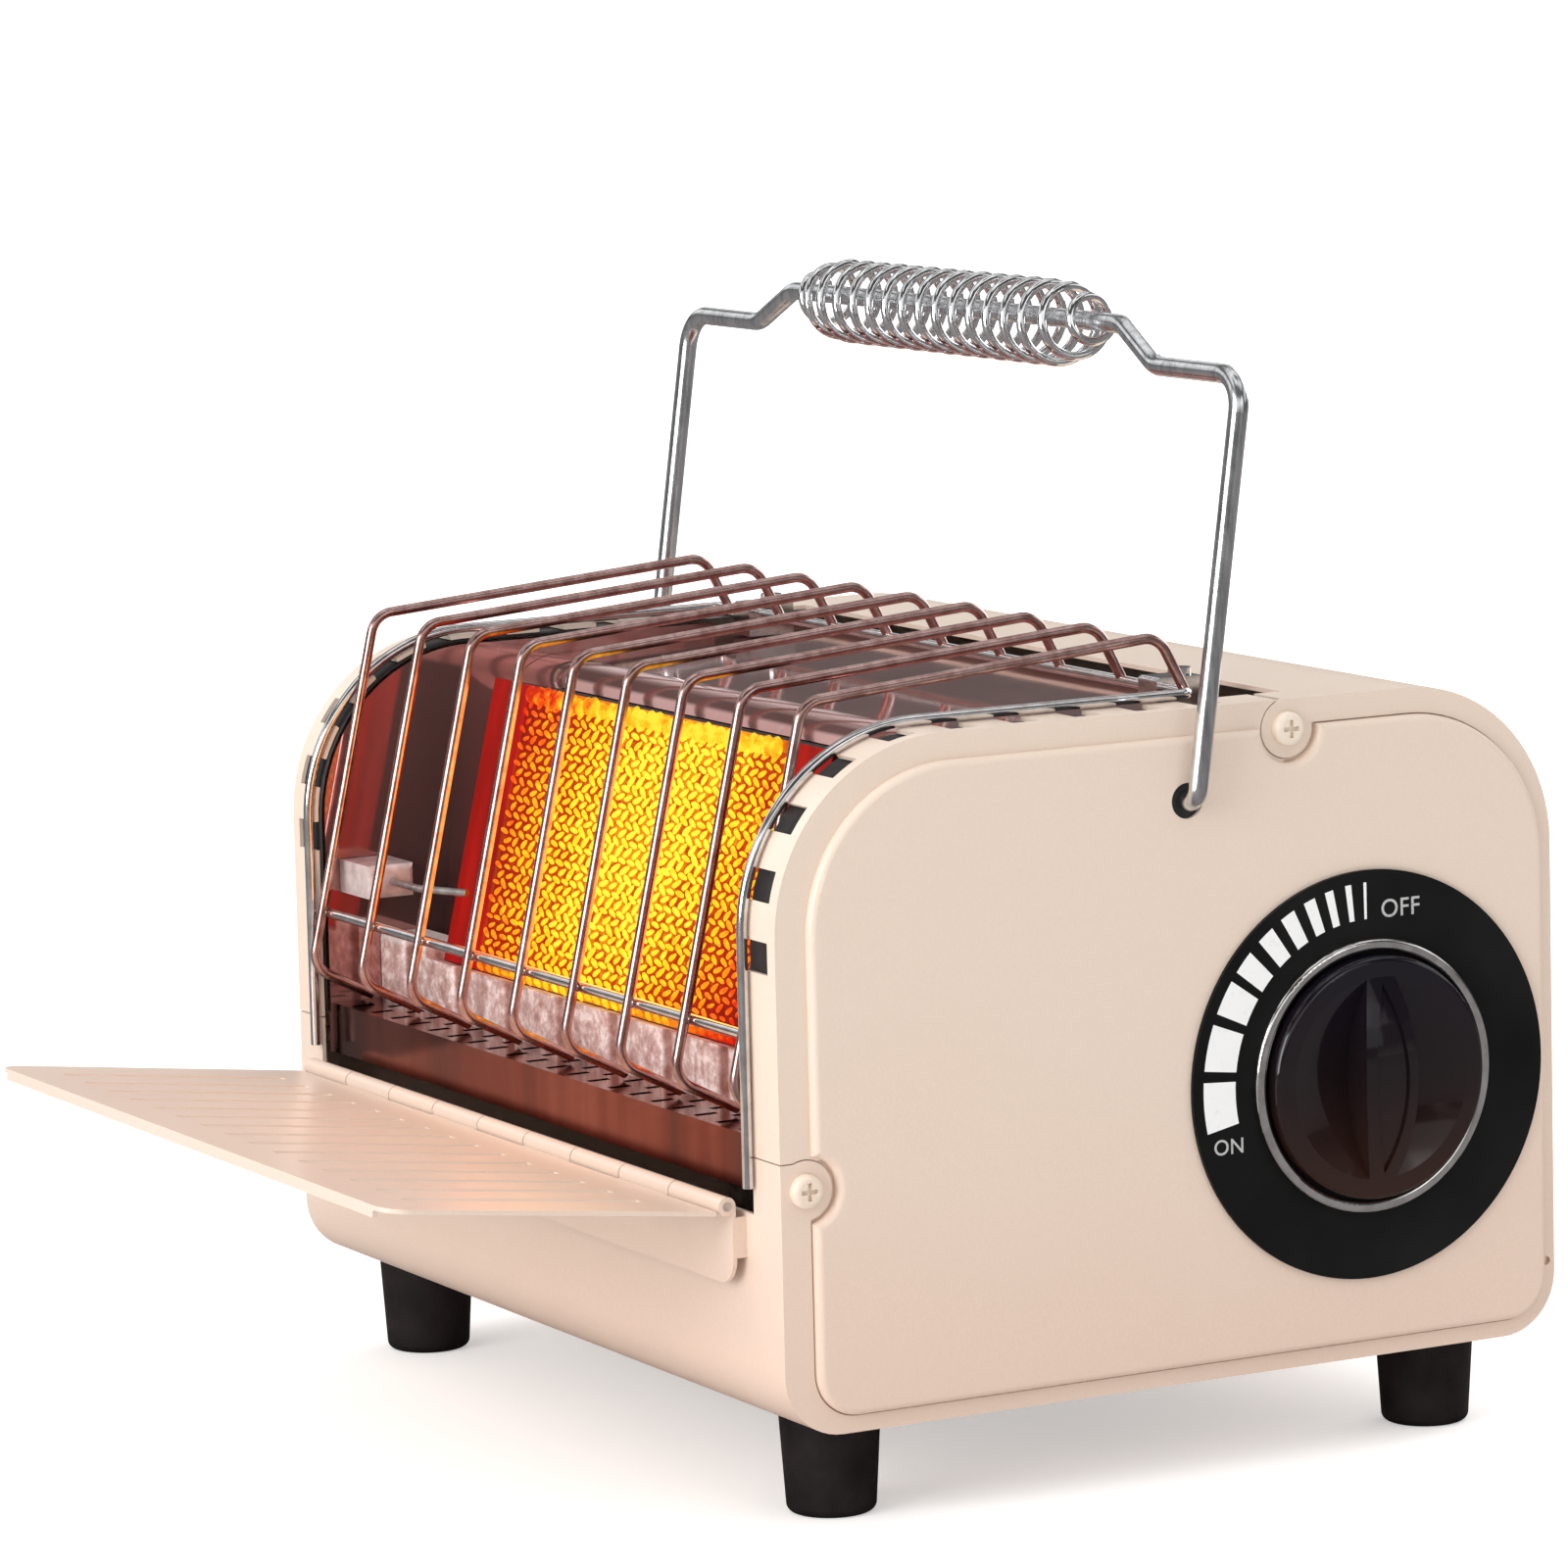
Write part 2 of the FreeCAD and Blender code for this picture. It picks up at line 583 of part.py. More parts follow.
def make_end_screws():
    """Pan-head screws that hold the casing's tabs to the end panels."""
    screws = []
    front = END_X + SCREW_HEAD_H
    long, wide, deep = SCREW_RECESS
    for y, z in (LOW_SCREW, TOP_SCREW):
        head = Part.makeCylinder(SCREW_HEAD_D / 2, SCREW_HEAD_H, vec(END_X, y, z), vec(1, 0, 0))
        rim = [e for e in head.Edges if abs(e.BoundBox.XMin - front) < 1e-6]
        head = head.makeFillet(SCREW_EDGE_R, rim)
        for turn in (0, 90):
            slot = box(front - deep, front + PAST, y - wide / 2, y + wide / 2, z - long / 2, z + long / 2)
            slot.rotate(vec(0, y, z), vec(1, 0, 0), turn)
            head = head.cut(slot)
        shank = rod_x(END_X - SCREW_SHANK_L, END_X + WELD, y, z, SCREW_D)
        screw = head.fuse(shank).removeSplitter()
        screws += [screw, mirrored(screw)]
    return Part.makeCompound(screws)


def lean_handle(shape):
    shape.rotate(vec(0, PIVOT_Y, PIVOT_Z), vec(1, 0, 0), -LEG_LEAN)
    return shape


def make_handle():
    """One bent rod: stub, leg, shoulder and ramp up to the grip, the same at both ends."""
    inner = LEG_X - SHOULDER_LEN
    top = PIVOT_Z + LEG_LEN
    stub_x = END_X - PIVOT_STUB
    half = [
        (stub_x, PIVOT_Z), (LEG_X, PIVOT_Z), (LEG_X, top), (inner, top),
        (inner - RAMP_LEN, top + GRIP_RISE),
    ]
    radii = [0, PIVOT_BEND_R, ELBOW_R, RAMP_R, RAMP_R]
    points = [vec(x, PIVOT_Y, z) for x, z in half]
    points += [vec(-x, PIVOT_Y, z) for x, z in reversed(half)]
    bends = radii + list(reversed(radii))
    path = Part.Wire(rounded_edges(points, bends, False))
    ring = Part.Wire(Part.makeCircle(ROD_D / 2, points[0], vec(1, 0, 0)))
    return lean_handle(path.makePipeShell([ring], True, False))


def biarc(p0, t0, p1, t1):
    """Two arcs from p0 to p1 that keep the tangents t0 and t1."""
    span = p1 - p0
    both = t0 + t1
    bend = 2 * (1 - t0.dot(t1))
    along = span.dot(both)
    reach = (-along + math.sqrt(along ** 2 + bend * span.dot(span))) / bend
    q0 = p0 + t0 * reach
    q1 = p1 - t1 * reach
    joint = (q0 + q1) * 0.5
    edges = []
    for a, q, b in ((p0, q0, joint), (joint, q1, p1)):
        mid = (a + b) * 0.5
        half_chord = a.distanceToPoint(mid)
        rise = q.distanceToPoint(mid)
        quarter = math.atan2(rise, half_chord) / 2
        crown = mid + (q - mid).normalize() * (half_chord * math.tan(quarter))
        edges.append(Part.Arc(a, crown, b).toShape())
    return edges


def grip_radius(share):
    """Coil centreline radius along the grip: snug on the rod at its ends, full in the middle."""
    snug = (ROD_D + GRIP_WIRE_D) / 2 + FIT
    swell = min(1.0, share / GRIP_TAPER, (1 - share) / GRIP_TAPER)
    return snug + (GRIP_MID_R - snug) * math.sin(swell * math.pi / 2)


def grip_point(turn):
    share = turn / GRIP_TURNS
    r = grip_radius(share)
    z = PIVOT_Z + LEG_LEN + GRIP_RISE
    a = 2 * math.pi * turn
    return vec(-GRIP_LEN / 2 + GRIP_LEN * share, PIVOT_Y + r * math.cos(a), z + r * math.sin(a))


def make_grip():
    """Open coil wound over the rod: one wire, drawn as biarcs of half a turn."""
    halves = GRIP_TURNS * 2
    step = 0.001
    points = [grip_point(i / 2) for i in range(halves + 1)]
    tangents = []
    for i in range(halves + 1):
        low = max(i / 2 - step, 0)
        high = min(i / 2 + step, GRIP_TURNS)
        tangents.append((grip_point(high) - grip_point(low)).normalize())
    edges = []
    for i in range(halves):
        edges += biarc(points[i], tangents[i], points[i + 1], tangents[i + 1])
    ring = Part.Wire(Part.makeCircle(GRIP_WIRE_D / 2, points[0], tangents[0]))
    coil = Part.Wire(edges).makePipeShell([ring], True, False)
    pitch = GRIP_LEN / GRIP_TURNS
    print("grip coil: turns", GRIP_TURNS, "least gap to itself", round(pitch - GRIP_WIRE_D, 2))
    return lean_handle(coil)


def make_washers():
    """Push-on washers that keep the handle's ends inside the end panels."""
    x1 = PANEL_X - SHEET - FIT
    ring = rod_x(x1 - WASHER_T, x1, PIVOT_Y, PIVOT_Z, 2 * WASHER_R)
    ring = ring.cut(rod_x(0, BIG, PIVOT_Y, PIVOT_Z, ROD_D))
    return Part.makeCompound([ring, mirrored(ring)])


def guard_path(x):
    start = (GUARD_ANCHOR_Y, PAN_Z + WIRE_D / 2 + FIT)
    foot = (GUARD_FOOT_Y, FRAME_TOP_Z + WIRE_D / 2 - WELD)
    return [vec(x, y, z) for y, z in (start, GUARD_LOW, GUARD_HIGH, GUARD_REAR, foot)]


def make_guard_frame():
    """Frame of the guard: a rod that follows both strips and runs across the rear, and a front rod."""
    share = (CROSS_ROD_Z - GUARD_LOW[1]) / (GUARD_HIGH[1] - GUARD_LOW[1])
    rod_y = GUARD_LOW[0] + share * (GUARD_HIGH[0] - GUARD_LOW[0]) + WIRE_D - WELD
    reach = SIDE_X - FIT
    front = rod_x(-reach, reach, rod_y, CROSS_ROD_Z, WIRE_D)
    out = WIRE_D / 2 + FIT
    side = [
        vec(FRAME_X, -BACK_Y - out, FRAME_FOOT_Z), vec(FRAME_X, -BACK_Y - out, FRAME_TOP_Z),
        vec(FRAME_X, GUARD_FOOT_Y, FRAME_TOP_Z),
    ]
    points = side + [vec(-p.x, p.y, p.z) for p in reversed(side)]
    bends = [0, FRONT_TOP_R + out, WIRE_BEND_R / 2]
    path = Part.Wire(rounded_edges(points, bends + bends[::-1], False))
    ring = Part.Wire(Part.makeCircle(WIRE_D / 2, points[0], vec(0, 0, 1)))
    return Part.makeCompound([path.makePipeShell([ring], True, False), front])


def make_guard_wires(frame):
    """The guard's bent wires, each with saddles where it is welded to the frame's rods."""
    half = (WIRE_COUNT - 1) / 2
    wires = [wire_rod(guard_path((i - half) * WIRE_PITCH), WIRE_BEND_R, WIRE_D) for i in range(WIRE_COUNT)]
    cut = [wire.cut(frame) for wire in wires]
    return Part.makeCompound([max(wire.Solids, key=lambda w: w.Volume) for wire in cut])


def make_clips():
    """Saddles on the reflector that hold the guard's rear rod."""
    low = hood_z(GUARD_FOOT_Y + CLIP_REAR) + FIT
    high = FRAME_TOP_Z + WIRE_D / 2 + CLIP_OVER
    radius, height, behind = CLIP_SCREW
    clips = []
    for x in (-CLIP_X, CLIP_X):
        y0, y1 = GUARD_FOOT_Y - CLIP_FRONT, GUARD_FOOT_Y + CLIP_REAR
        block = box(x - CLIP_W / 2, x + CLIP_W / 2, y0, y1, low, high)
        edges = [e for e in block.Edges if e.BoundBox.XLength > 1 and e.BoundBox.ZMin > high - 0.01]
        block = block.makeFillet(CLIP_EDGE_R, edges)
        block = block.cut(rod_x(-BIG, BIG, GUARD_FOOT_Y, FRAME_TOP_Z, WIRE_D + 2 * ROD_PLAY))
        head = Part.makeCylinder(radius, height, vec(x, GUARD_FOOT_Y + behind, high))
        clips.append(block.fuse(head).removeSplitter())
    return Part.makeCompound(clips)


def make_pan():
    """Polished pan under the burner, with rows of slots and a lip turned down in front."""
    floor = box(-SIDE_X + FIT, SIDE_X - FIT, PAN_FRONT_Y, PAN_REAR_Y, PAN_Z - SHEET, PAN_Z)
    half_w, half_l = PAN_SLOT_SIZE[0] / 2, PAN_SLOT_SIZE[1] / 2
    lip = box(-SIDE_X + FIT, SIDE_X - FIT, PAN_FRONT_Y, PAN_FRONT_Y + SHEET, PAN_Z - PAN_LIP_H, PAN_Z)
    pan = floor.fuse(lip).removeSplitter()
    for row in range(PAN_SLOT_ROWS):
        y = PAN_FRONT_Y + SHEET + (row + 0.5) * PAN_SLOT_PITCH[1]
        for col in range(PAN_SLOT_COLS):
            x = (col - (PAN_SLOT_COLS - 1) / 2 + row / 2 - 0.25) * PAN_SLOT_PITCH[0]
            pan = pan.cut(box(x - half_w, x + half_w, y - half_l, y + half_l, PAN_Z - 2 * SHEET, PAN_Z + SHEET))
    return pan


def hood_points(extra):
    """Foot, bend and rear edge of the hood's profile, as y and z."""
    return [
        (PAN_REAR_Y + FIT + extra, PAN_Z - HOOD_DROP), (PAN_REAR_Y + HOOD_LEAN + extra, HOOD_TOP_Z - extra),
        (OPENING_REAR_Y + HOOD_LAP, HOOD_TOP_Z + HOOD_RISE - extra),
    ]


def hood_z(y):
    """Height of the hood's upper face over y, on its long straight run."""
    (_, _), (y0, z0), (y1, z1) = hood_points(0)
    return z0 + (z1 - z0) * (y - y0) / (y1 - y0)


def make_hood():
    """Bent reflector: it rises behind the burner and runs back under the top opening."""
    outer = [vec(0, y, z) for y, z in hood_points(0)]
    inner = [vec(0, y, z) for y, z in hood_points(SHEET)]
    edges = rounded_edges(outer, [0, HOOD_BEND_R, 0], False)
    back = rounded_edges(inner, [0, HOOD_BEND_R - SHEET, 0], False)
    ends = [Part.LineSegment(outer[0], inner[0]).toShape(), Part.LineSegment(outer[-1], inner[-1]).toShape()]
    face = Part.Face(Part.Wire(Part.__sortEdges__(edges + back + ends)))
    width = 2 * (SIDE_X - FIT)
    hood = face.extrude(vec(width, 0, 0))
    hood.translate(vec(-width / 2, 0, 0))
    opening = burner_block(PLATE_W / 2 + HOUSING_SIDE + FIT, -HOUSING_RIM - FIT,
                           PLATE_H + HOUSING_RIM + FIT, -PLATE_T, 2 * HOUSING_DEPTH)
    return hood.cut(opening)


def burner_block(half_w, low, high, front, back):
    """A block in the burner's own leaning frame, set at the plate's lower front edge."""
    block = box(-half_w, half_w, front, back, low, high)
    block.rotate(vec(0, 0, 0), vec(1, 0, 0), -PLATE_LEAN)
    block.translate(vec(0, PLATE_FOOT[0], PLATE_FOOT[1]))
    return block


def make_burner_plate():
    """Ceramic tile with a grid of shallow dimples on its glowing face."""
    plate = box(-PLATE_W / 2, PLATE_W / 2, 0, PLATE_T, 0, PLATE_H)
    columns = round(PLATE_W / CELL_PITCH_X)
    rows = round(PLATE_H / CELL_PITCH_Z)
    dx = PLATE_W / columns
    dz = PLATE_H / rows
    cells = []
    for i in range(columns):
        for j in range(rows):
            x = -PLATE_W / 2 + (i + 0.5) * dx
            z = (j + 0.5) * dz
            cells.append(box(x - CELL_HALF, x + CELL_HALF, -PAST, CELL_DEPTH, z - CELL_HALF, z + CELL_HALF))
    plate = plate.cut(Part.makeCompound(cells))
    plate.rotate(vec(0, 0, 0), vec(1, 0, 0), -PLATE_LEAN)
    plate.translate(vec(0, PLATE_FOOT[0], PLATE_FOOT[1]))
    return plate


def make_housing():
    """Pressed burner box: it frames the tile and collects the gas mixture behind it."""
    half = PLATE_W / 2 + HOUSING_SIDE
    shell = burner_block(half, -HOUSING_RIM, PLATE_H + HOUSING_RIM, HOUSING_SET, HOUSING_DEPTH)
    gap, ledge = TILE_FIT, HOUSING_LEDGE
    seat = burner_block(PLATE_W / 2 + gap, -gap, PLATE_H + gap, -PAST, PLATE_T + gap)
    room = burner_block(PLATE_W / 2 - ledge, ledge, PLATE_H - ledge, PLATE_T, HOUSING_DEPTH - HOUSING_WALL)
    shell = shell.cut(seat).cut(room)
    port_l = TUBE_Y - PLATE_FOOT[0] - PLATE_T
    port = Part.makeCylinder(TUBE_D / 2 - TUBE_WALL, port_l, vec(0, TUBE_Y, TUBE_Z), vec(0, -1, 0))
    return shell.cut(port)


def make_support():
    """Ribbed casting that carries the burner box above the pan."""
    half = SIDE_X - FIT
    y0, y1 = SUPPORT_FRONT_Y + RIB_OUT, SUPPORT_FRONT_Y + RIB_OUT + SUPPORT_DEPTH
    bar = box(-half, half, y0, y1, PAN_Z, SUPPORT_TOP_Z)
    bed = box(-PLATE_W / 2 - HOUSING_SIDE, PLATE_W / 2 + HOUSING_SIDE, y0, y1 + SUPPORT_DEPTH, PAN_Z, PLATE_FOOT[1])
    limit = box(-half, half, SUPPORT_FRONT_Y - PAST, y0, PAN_Z, SUPPORT_TOP_Z)
    ribs = []
    rib_half = (WIRE_PITCH - RIB_GROOVE) / 2
    for i in range(WIRE_COUNT):
        x = (i - (WIRE_COUNT - 1) / 2) * WIRE_PITCH
        rib = box(x - rib_half, x + rib_half, SUPPORT_FRONT_Y, y0 + SHEET, PAN_Z, SUPPORT_TOP_Z)
        edges = [e for e in rib.Edges if e.BoundBox.YMax < SUPPORT_FRONT_Y + 0.01 and e.BoundBox.ZMax > PAN_Z + 1]
        ribs.append(rib.makeFillet(RIB_EDGE_R, edges).common(limit))
    seat = burner_block(PLATE_W / 2 + HOUSING_SIDE + FIT, -HOUSING_RIM - FIT, PLATE_H, -PLATE_T, HOUSING_DEPTH + FIT)
    return fused([bar, bed] + ribs).cut(seat)


def make_side_wall():
    """Polished side of the burner chamber, cut to the casing's outline."""
    plate = case_slab(SIDE_X, SIDE_X + SHEET, 2 * SHEET + FIT)
    keep = box(0, BIG, -BIG, DIVIDER_Y, PAN_Z - PAN_LIP_H, BIG)
    return plate.common(keep)


def insulator_block(x0, grow):
    """The insulator's plain block from x0 inwards, grown all round."""
    half_w, half_h = INSULATOR_W / 2 + grow, INSULATOR_H / 2 + grow
    return box(x0, ELECTRODE_X, ELECTRODE_Y - half_w, ELECTRODE_Y + half_w,
               ELECTRODE_Z - half_h, ELECTRODE_Z + half_h)


def make_divider():
    """Heat shield between the burner chamber and the canister bay."""
    half, low = SIDE_X - FIT, FOOT_H + SHEET + FIT
    wall = box(-half, half, DIVIDER_Y, DIVIDER_Y + SHEET, low, HOOD_TOP_Z - DIVIDER_DROP)
    foot = box(-half, half, DIVIDER_Y - DIVIDER_FOOT, DIVIDER_Y, low, low + SHEET)
    hole = Part.makeCylinder(PIPE_D / 2 + PIPE_PLAY, SHEET + 2 * PAST, vec(PIPE_X, DIVIDER_Y - PAST, TUBE_Z),
                             vec(0, 1, 0))
    return wall.fuse(foot).removeSplitter().cut(hole)


def make_mixing_tube():
    """Mixing tube: it leaves the burner box, turns and ends in a flared air inlet."""
    y_port = PLATE_FOOT[0] + HOUSING_DEPTH + TUBE_START
    neck = vec(TUBE_END_X - FLARE_L, TUBE_Y, TUBE_Z)
    points = [vec(0, y_port, TUBE_Z), vec(0, TUBE_Y, TUBE_Z), neck]
    outer_r, inner_r = TUBE_D / 2, TUBE_D / 2 - TUBE_WALL
    outer = wire_rod(points, TUBE_BEND_R, 2 * outer_r)
    flare = Part.makeCone(outer_r, outer_r + FLARE_OUT, FLARE_L, neck, vec(1, 0, 0))
    inner = wire_rod(points, TUBE_BEND_R, 2 * inner_r)
    funnel = Part.makeCone(inner_r, inner_r + FLARE_OUT, FLARE_L, neck, vec(1, 0, 0))
    tube = outer.fuse(flare)
    box_back = burner_block(PLATE_W, -BIG, BIG, -BIG, HOUSING_DEPTH)
    return tube.cut(inner).cut(funnel).cut(box_back).removeSplitter()


def make_injector():
    """Brass nozzle on a small bracket, facing the flare."""
    x0 = TUBE_END_X + NOZZLE_GAP
    mouth_r, root_r, length = NOZZLE_TIP
    tip = Part.makeCone(mouth_r, root_r, length, vec(x0, TUBE_Y, TUBE_Z), vec(1, 0, 0))
    half_x, half = PIPE_D / 2 + SHEET, ELBOW_HALF
    body = rod_x(x0 + length, PIPE_X - half_x, TUBE_Y, TUBE_Z, 2 * root_r)
    elbow = box(PIPE_X - half_x, PIPE_X + half_x, TUBE_Y - half, TUBE_Y + half, TUBE_Z - half, TUBE_Z + half)
    return fused([tip, body, elbow])


def make_pipe():
    """Copper gas pipe from the valve, through the heat shield, to the nozzle."""
    points = [
        vec(PIPE_X, TUBE_Y + ELBOW_HALF, TUBE_Z), vec(PIPE_X, KNOB_Y, TUBE_Z),
        vec(PIPE_X, KNOB_Y, KNOB_Z + VALVE_UP),
    ]
    return wire_rod(points, PIPE_BEND_R, PIPE_D)


def make_valve():
    """Regulator valve: canister socket on one side, spindle housing on the other."""
    body = box(VALVE_X, VALVE_X + VALVE_L, KNOB_Y - VALVE_HALF, KNOB_Y + VALVE_HALF,
               BAY_Z - VALVE_HALF, KNOB_Z + VALVE_UP)
    edges = [e for e in body.Edges if e.BoundBox.XLength > VALVE_L - 0.1]
    body = body.makeFillet(VALVE_EDGE_R, edges)
    bonnet = rod_x(VALVE_X + VALVE_L, END_X - BRACKET_IN, KNOB_Y, KNOB_Z, BONNET_D)
    half_y, half_z = BRACKET_HALF
    bracket = box(END_X - BRACKET_IN, END_X - 2 * SHEET - FIT, KNOB_Y - half_y, KNOB_Y + half_y,
                  KNOB_Z - half_z, KNOB_Z + half_z)
    room_y = half_y - BRACKET_T
    bracket = bracket.cut(box(END_X - BRACKET_IN + BRACKET_T, END_X, KNOB_Y - room_y, KNOB_Y + room_y, 0, BIG))
    nose_d, nose_x0, nose_x1 = SOCKET_NOSE
    socket = rod_x(BAY_RIGHT_X + nose_x1, VALVE_X, BAY_Y, BAY_Z, SOCKET_D)
    nozzle = rod_x(BAY_RIGHT_X + nose_x0, BAY_RIGHT_X + nose_x1, BAY_Y, BAY_Z, nose_d)
    bore = rod_x(VALVE_X + SPINDLE_START, BIG, KNOB_Y, KNOB_Z, SPINDLE_D + 2 * BORE_FIT)
    return fused([body, bonnet, bracket, socket, nozzle]).cut(bore)


def make_magnet():
    """Ring magnet that pulls the canister's collar against the socket."""
    ring = rod_x(BAY_RIGHT_X + SOCKET_NOSE[1], VALVE_X, BAY_Y, BAY_Z, MAGNET_D)
    return ring.cut(rod_x(0, BIG, BAY_Y, BAY_Z, SOCKET_D))


def spindle_flat(rise, start):
    """What the spindle's flat takes away, from start past the panel."""
    return box(PANEL_X + start, BIG, KNOB_Y - SPINDLE_D, KNOB_Y + SPINDLE_D, KNOB_Z + rise, KNOB_Z + SPINDLE_D)


def make_spindle():
    """Valve spindle with a flat for the knob."""
    start, rise = SPINDLE_FLAT
    shaft = rod_x(VALVE_X + SPINDLE_START + FIT, PANEL_X + SPINDLE_REACH, KNOB_Y, KNOB_Z, SPINDLE_D)
    return shaft.cut(spindle_flat(rise, start))


def make_dial():
    """Thin dial plate stuck on the end panel."""
    disc = rod_x(PANEL_X, PANEL_X + DIAL_T, KNOB_Y, KNOB_Z, 2 * DIAL_R)
    return disc.cut(rod_x(0, BIG, KNOB_Y, KNOB_Z, SPINDLE_D + DIAL_HOLE))


def make_ring():
    """Bright collar round the knob, fixed on the dial plate."""
    x0 = PANEL_X + DIAL_T
    ring = rod_x(x0, x0 + RING_H, KNOB_Y, KNOB_Z, 2 * RING_R)
    ring = ring.cut(rod_x(0, BIG, KNOB_Y, KNOB_Z, 2 * (RING_R - RING_W)))
    rim = [e for e in ring.Edges if abs(e.BoundBox.XMin - x0 - RING_H) < 1e-6]
    return ring.makeFillet(RING_EDGE_R, rim)


def knob_leaf(x, width, length):
    """Pointed oval across the knob at x, made of two arcs."""
    low, high = vec(x, KNOB_Y, KNOB_Z - length / 2), vec(x, KNOB_Y, KNOB_Z + length / 2)
    near = Part.Arc(low, vec(x, KNOB_Y - width / 2, KNOB_Z), high).toShape()
    far = Part.Arc(high, vec(x, KNOB_Y + width / 2, KNOB_Z), low).toShape()
    return Part.Wire([near, far])


def knob_dome(drop):
    """Ball whose front is the blade's crest: level with the rim's face where the bowl ends."""
    bowl_r = KNOB_R - KNOB_RIM_W
    rise = KNOB_BLADE_H - KNOB_RIM_H
    radius = (bowl_r ** 2 + rise ** 2) / (2 * rise)
    return Part.makeSphere(radius - drop, vec(KNOB_X + KNOB_BLADE_H - radius, KNOB_Y, KNOB_Z))


def make_knob():
    """Low round knob: a rim, a shallow bowl inside it and a leaf-shaped grip blade across the bowl."""
    skirt = rod_x(KNOB_X, KNOB_X + KNOB_RIM_H, KNOB_Y, KNOB_Z, 2 * KNOB_R)
    rim = [e for e in skirt.Edges if abs(e.BoundBox.XMin - KNOB_X - KNOB_RIM_H) < 1e-6]
    skirt = skirt.makeFillet(KNOB_RIM_EDGE_R, rim)
    bowl_r = KNOB_R - KNOB_RIM_W
    deep = KNOB_RIM_H - KNOB_BOWL_H
    ball_r = (bowl_r ** 2 + deep ** 2) / (2 * deep)
    skirt = skirt.cut(Part.makeSphere(ball_r, vec(KNOB_X + KNOB_BOWL_H + ball_r, KNOB_Y, KNOB_Z)))
    root = knob_leaf(KNOB_X + KNOB_BOWL_H / 2, KNOB_BLADE_W + KNOB_BLADE_TAPER, KNOB_BLADE_L)
    crest = knob_leaf(KNOB_X + KNOB_BLADE_H + PAST, KNOB_BLADE_W, KNOB_BLADE_L)
    blade = Part.makeLoft([root, crest], True, True)
    blade = blade.common(rod_x(KNOB_X, BIG, KNOB_Y, KNOB_Z, 2 * (bowl_r + SHEET))).common(knob_dome(0))
    width, length, depth = KNOB_DISH
    leaf = Part.Face(knob_leaf(KNOB_X + KNOB_BOWL_H, width, length)).extrude(vec(KNOB_BLADE_H, 0, 0))
    knob = skirt.fuse(blade).removeSplitter().cut(leaf.cut(knob_dome(depth)))
    start, rise = SPINDLE_FLAT
    bore = rod_x(KNOB_X - PAST, PANEL_X + SPINDLE_REACH + FIT, KNOB_Y, KNOB_Z, SPINDLE_D + 2 * BORE_FIT)
    return knob.cut(bore.cut(spindle_flat(rise + 2 * BORE_FIT, start + FIT)))


def make_piezo():
    """Igniter block beside the valve, with its terminal on top."""
    y0 = KNOB_Y + VALVE_HALF + PIEZO_GAP
    deep, below, above = PIEZO_SIZE
    block = box(VALVE_X, VALVE_X + VALVE_L, y0, y0 + deep, KNOB_Z - below, KNOB_Z + above)
    radius, height = PIEZO_STEM
    stem = Part.makeCylinder(radius, height, vec(PIEZO_STEM_X, PIEZO_STEM_Y, KNOB_Z + above))
    return block.fuse(stem).removeSplitter()


def make_insulator():
    """Ceramic block that carries the spark rod through the chamber's side wall."""
    block = insulator_block(-SIDE_X - INSULATOR_OUT, 0)
    edges = [e for e in block.Edges if e.BoundBox.XMin > ELECTRODE_X - 0.01]
    return block.makeFillet(INSULATOR_EDGE_R, edges)


def make_electrode():
    """Spark rod that reaches from its insulator to just before the tile's face."""
    points = [
        vec(ELECTRODE_X, ELECTRODE_Y, ELECTRODE_Z),
        vec(ELECTRODE_X + ELECTRODE_REACH[0], ELECTRODE_Y, ELECTRODE_Z),
        vec(ELECTRODE_X + ELECTRODE_REACH[1], PLATE_FOOT[0] - ELECTRODE_D, ELECTRODE_Z),
    ]
    return wire_rod(points, 2 * ELECTRODE_D, ELECTRODE_D)


def make_lead():
    """High-tension lead from the igniter block, over the canister bay, to the insulator."""
    side_x = -(SIDE_X + END_X) / 2
    terminal_z = KNOB_Z + PIEZO_SIZE[2] + PIEZO_STEM[1]
    points = [
        vec(PIEZO_STEM_X, PIEZO_STEM_Y, terminal_z), vec(PIEZO_STEM_X, PIEZO_STEM_Y, LEAD_Z + LEAD_RISE),
        vec(side_x, PIEZO_STEM_Y, LEAD_Z + LEAD_RISE), vec(side_x, ELECTRODE_Y, LEAD_Z),
        vec(side_x, ELECTRODE_Y, ELECTRODE_Z), vec(-SIDE_X - INSULATOR_OUT, ELECTRODE_Y, ELECTRODE_Z),
    ]
    edges = rounded_edges(points, [0, LEAD_BEND_R, LEAD_BEND_R, LEAD_BEND_R / 2, LEAD_D, 0], False)
    ring = Part.Wire(Part.makeCircle(LEAD_D / 2, points[0], vec(0, 0, 1)))
    return Part.Wire(edges).makePipeShell([ring], True, False)


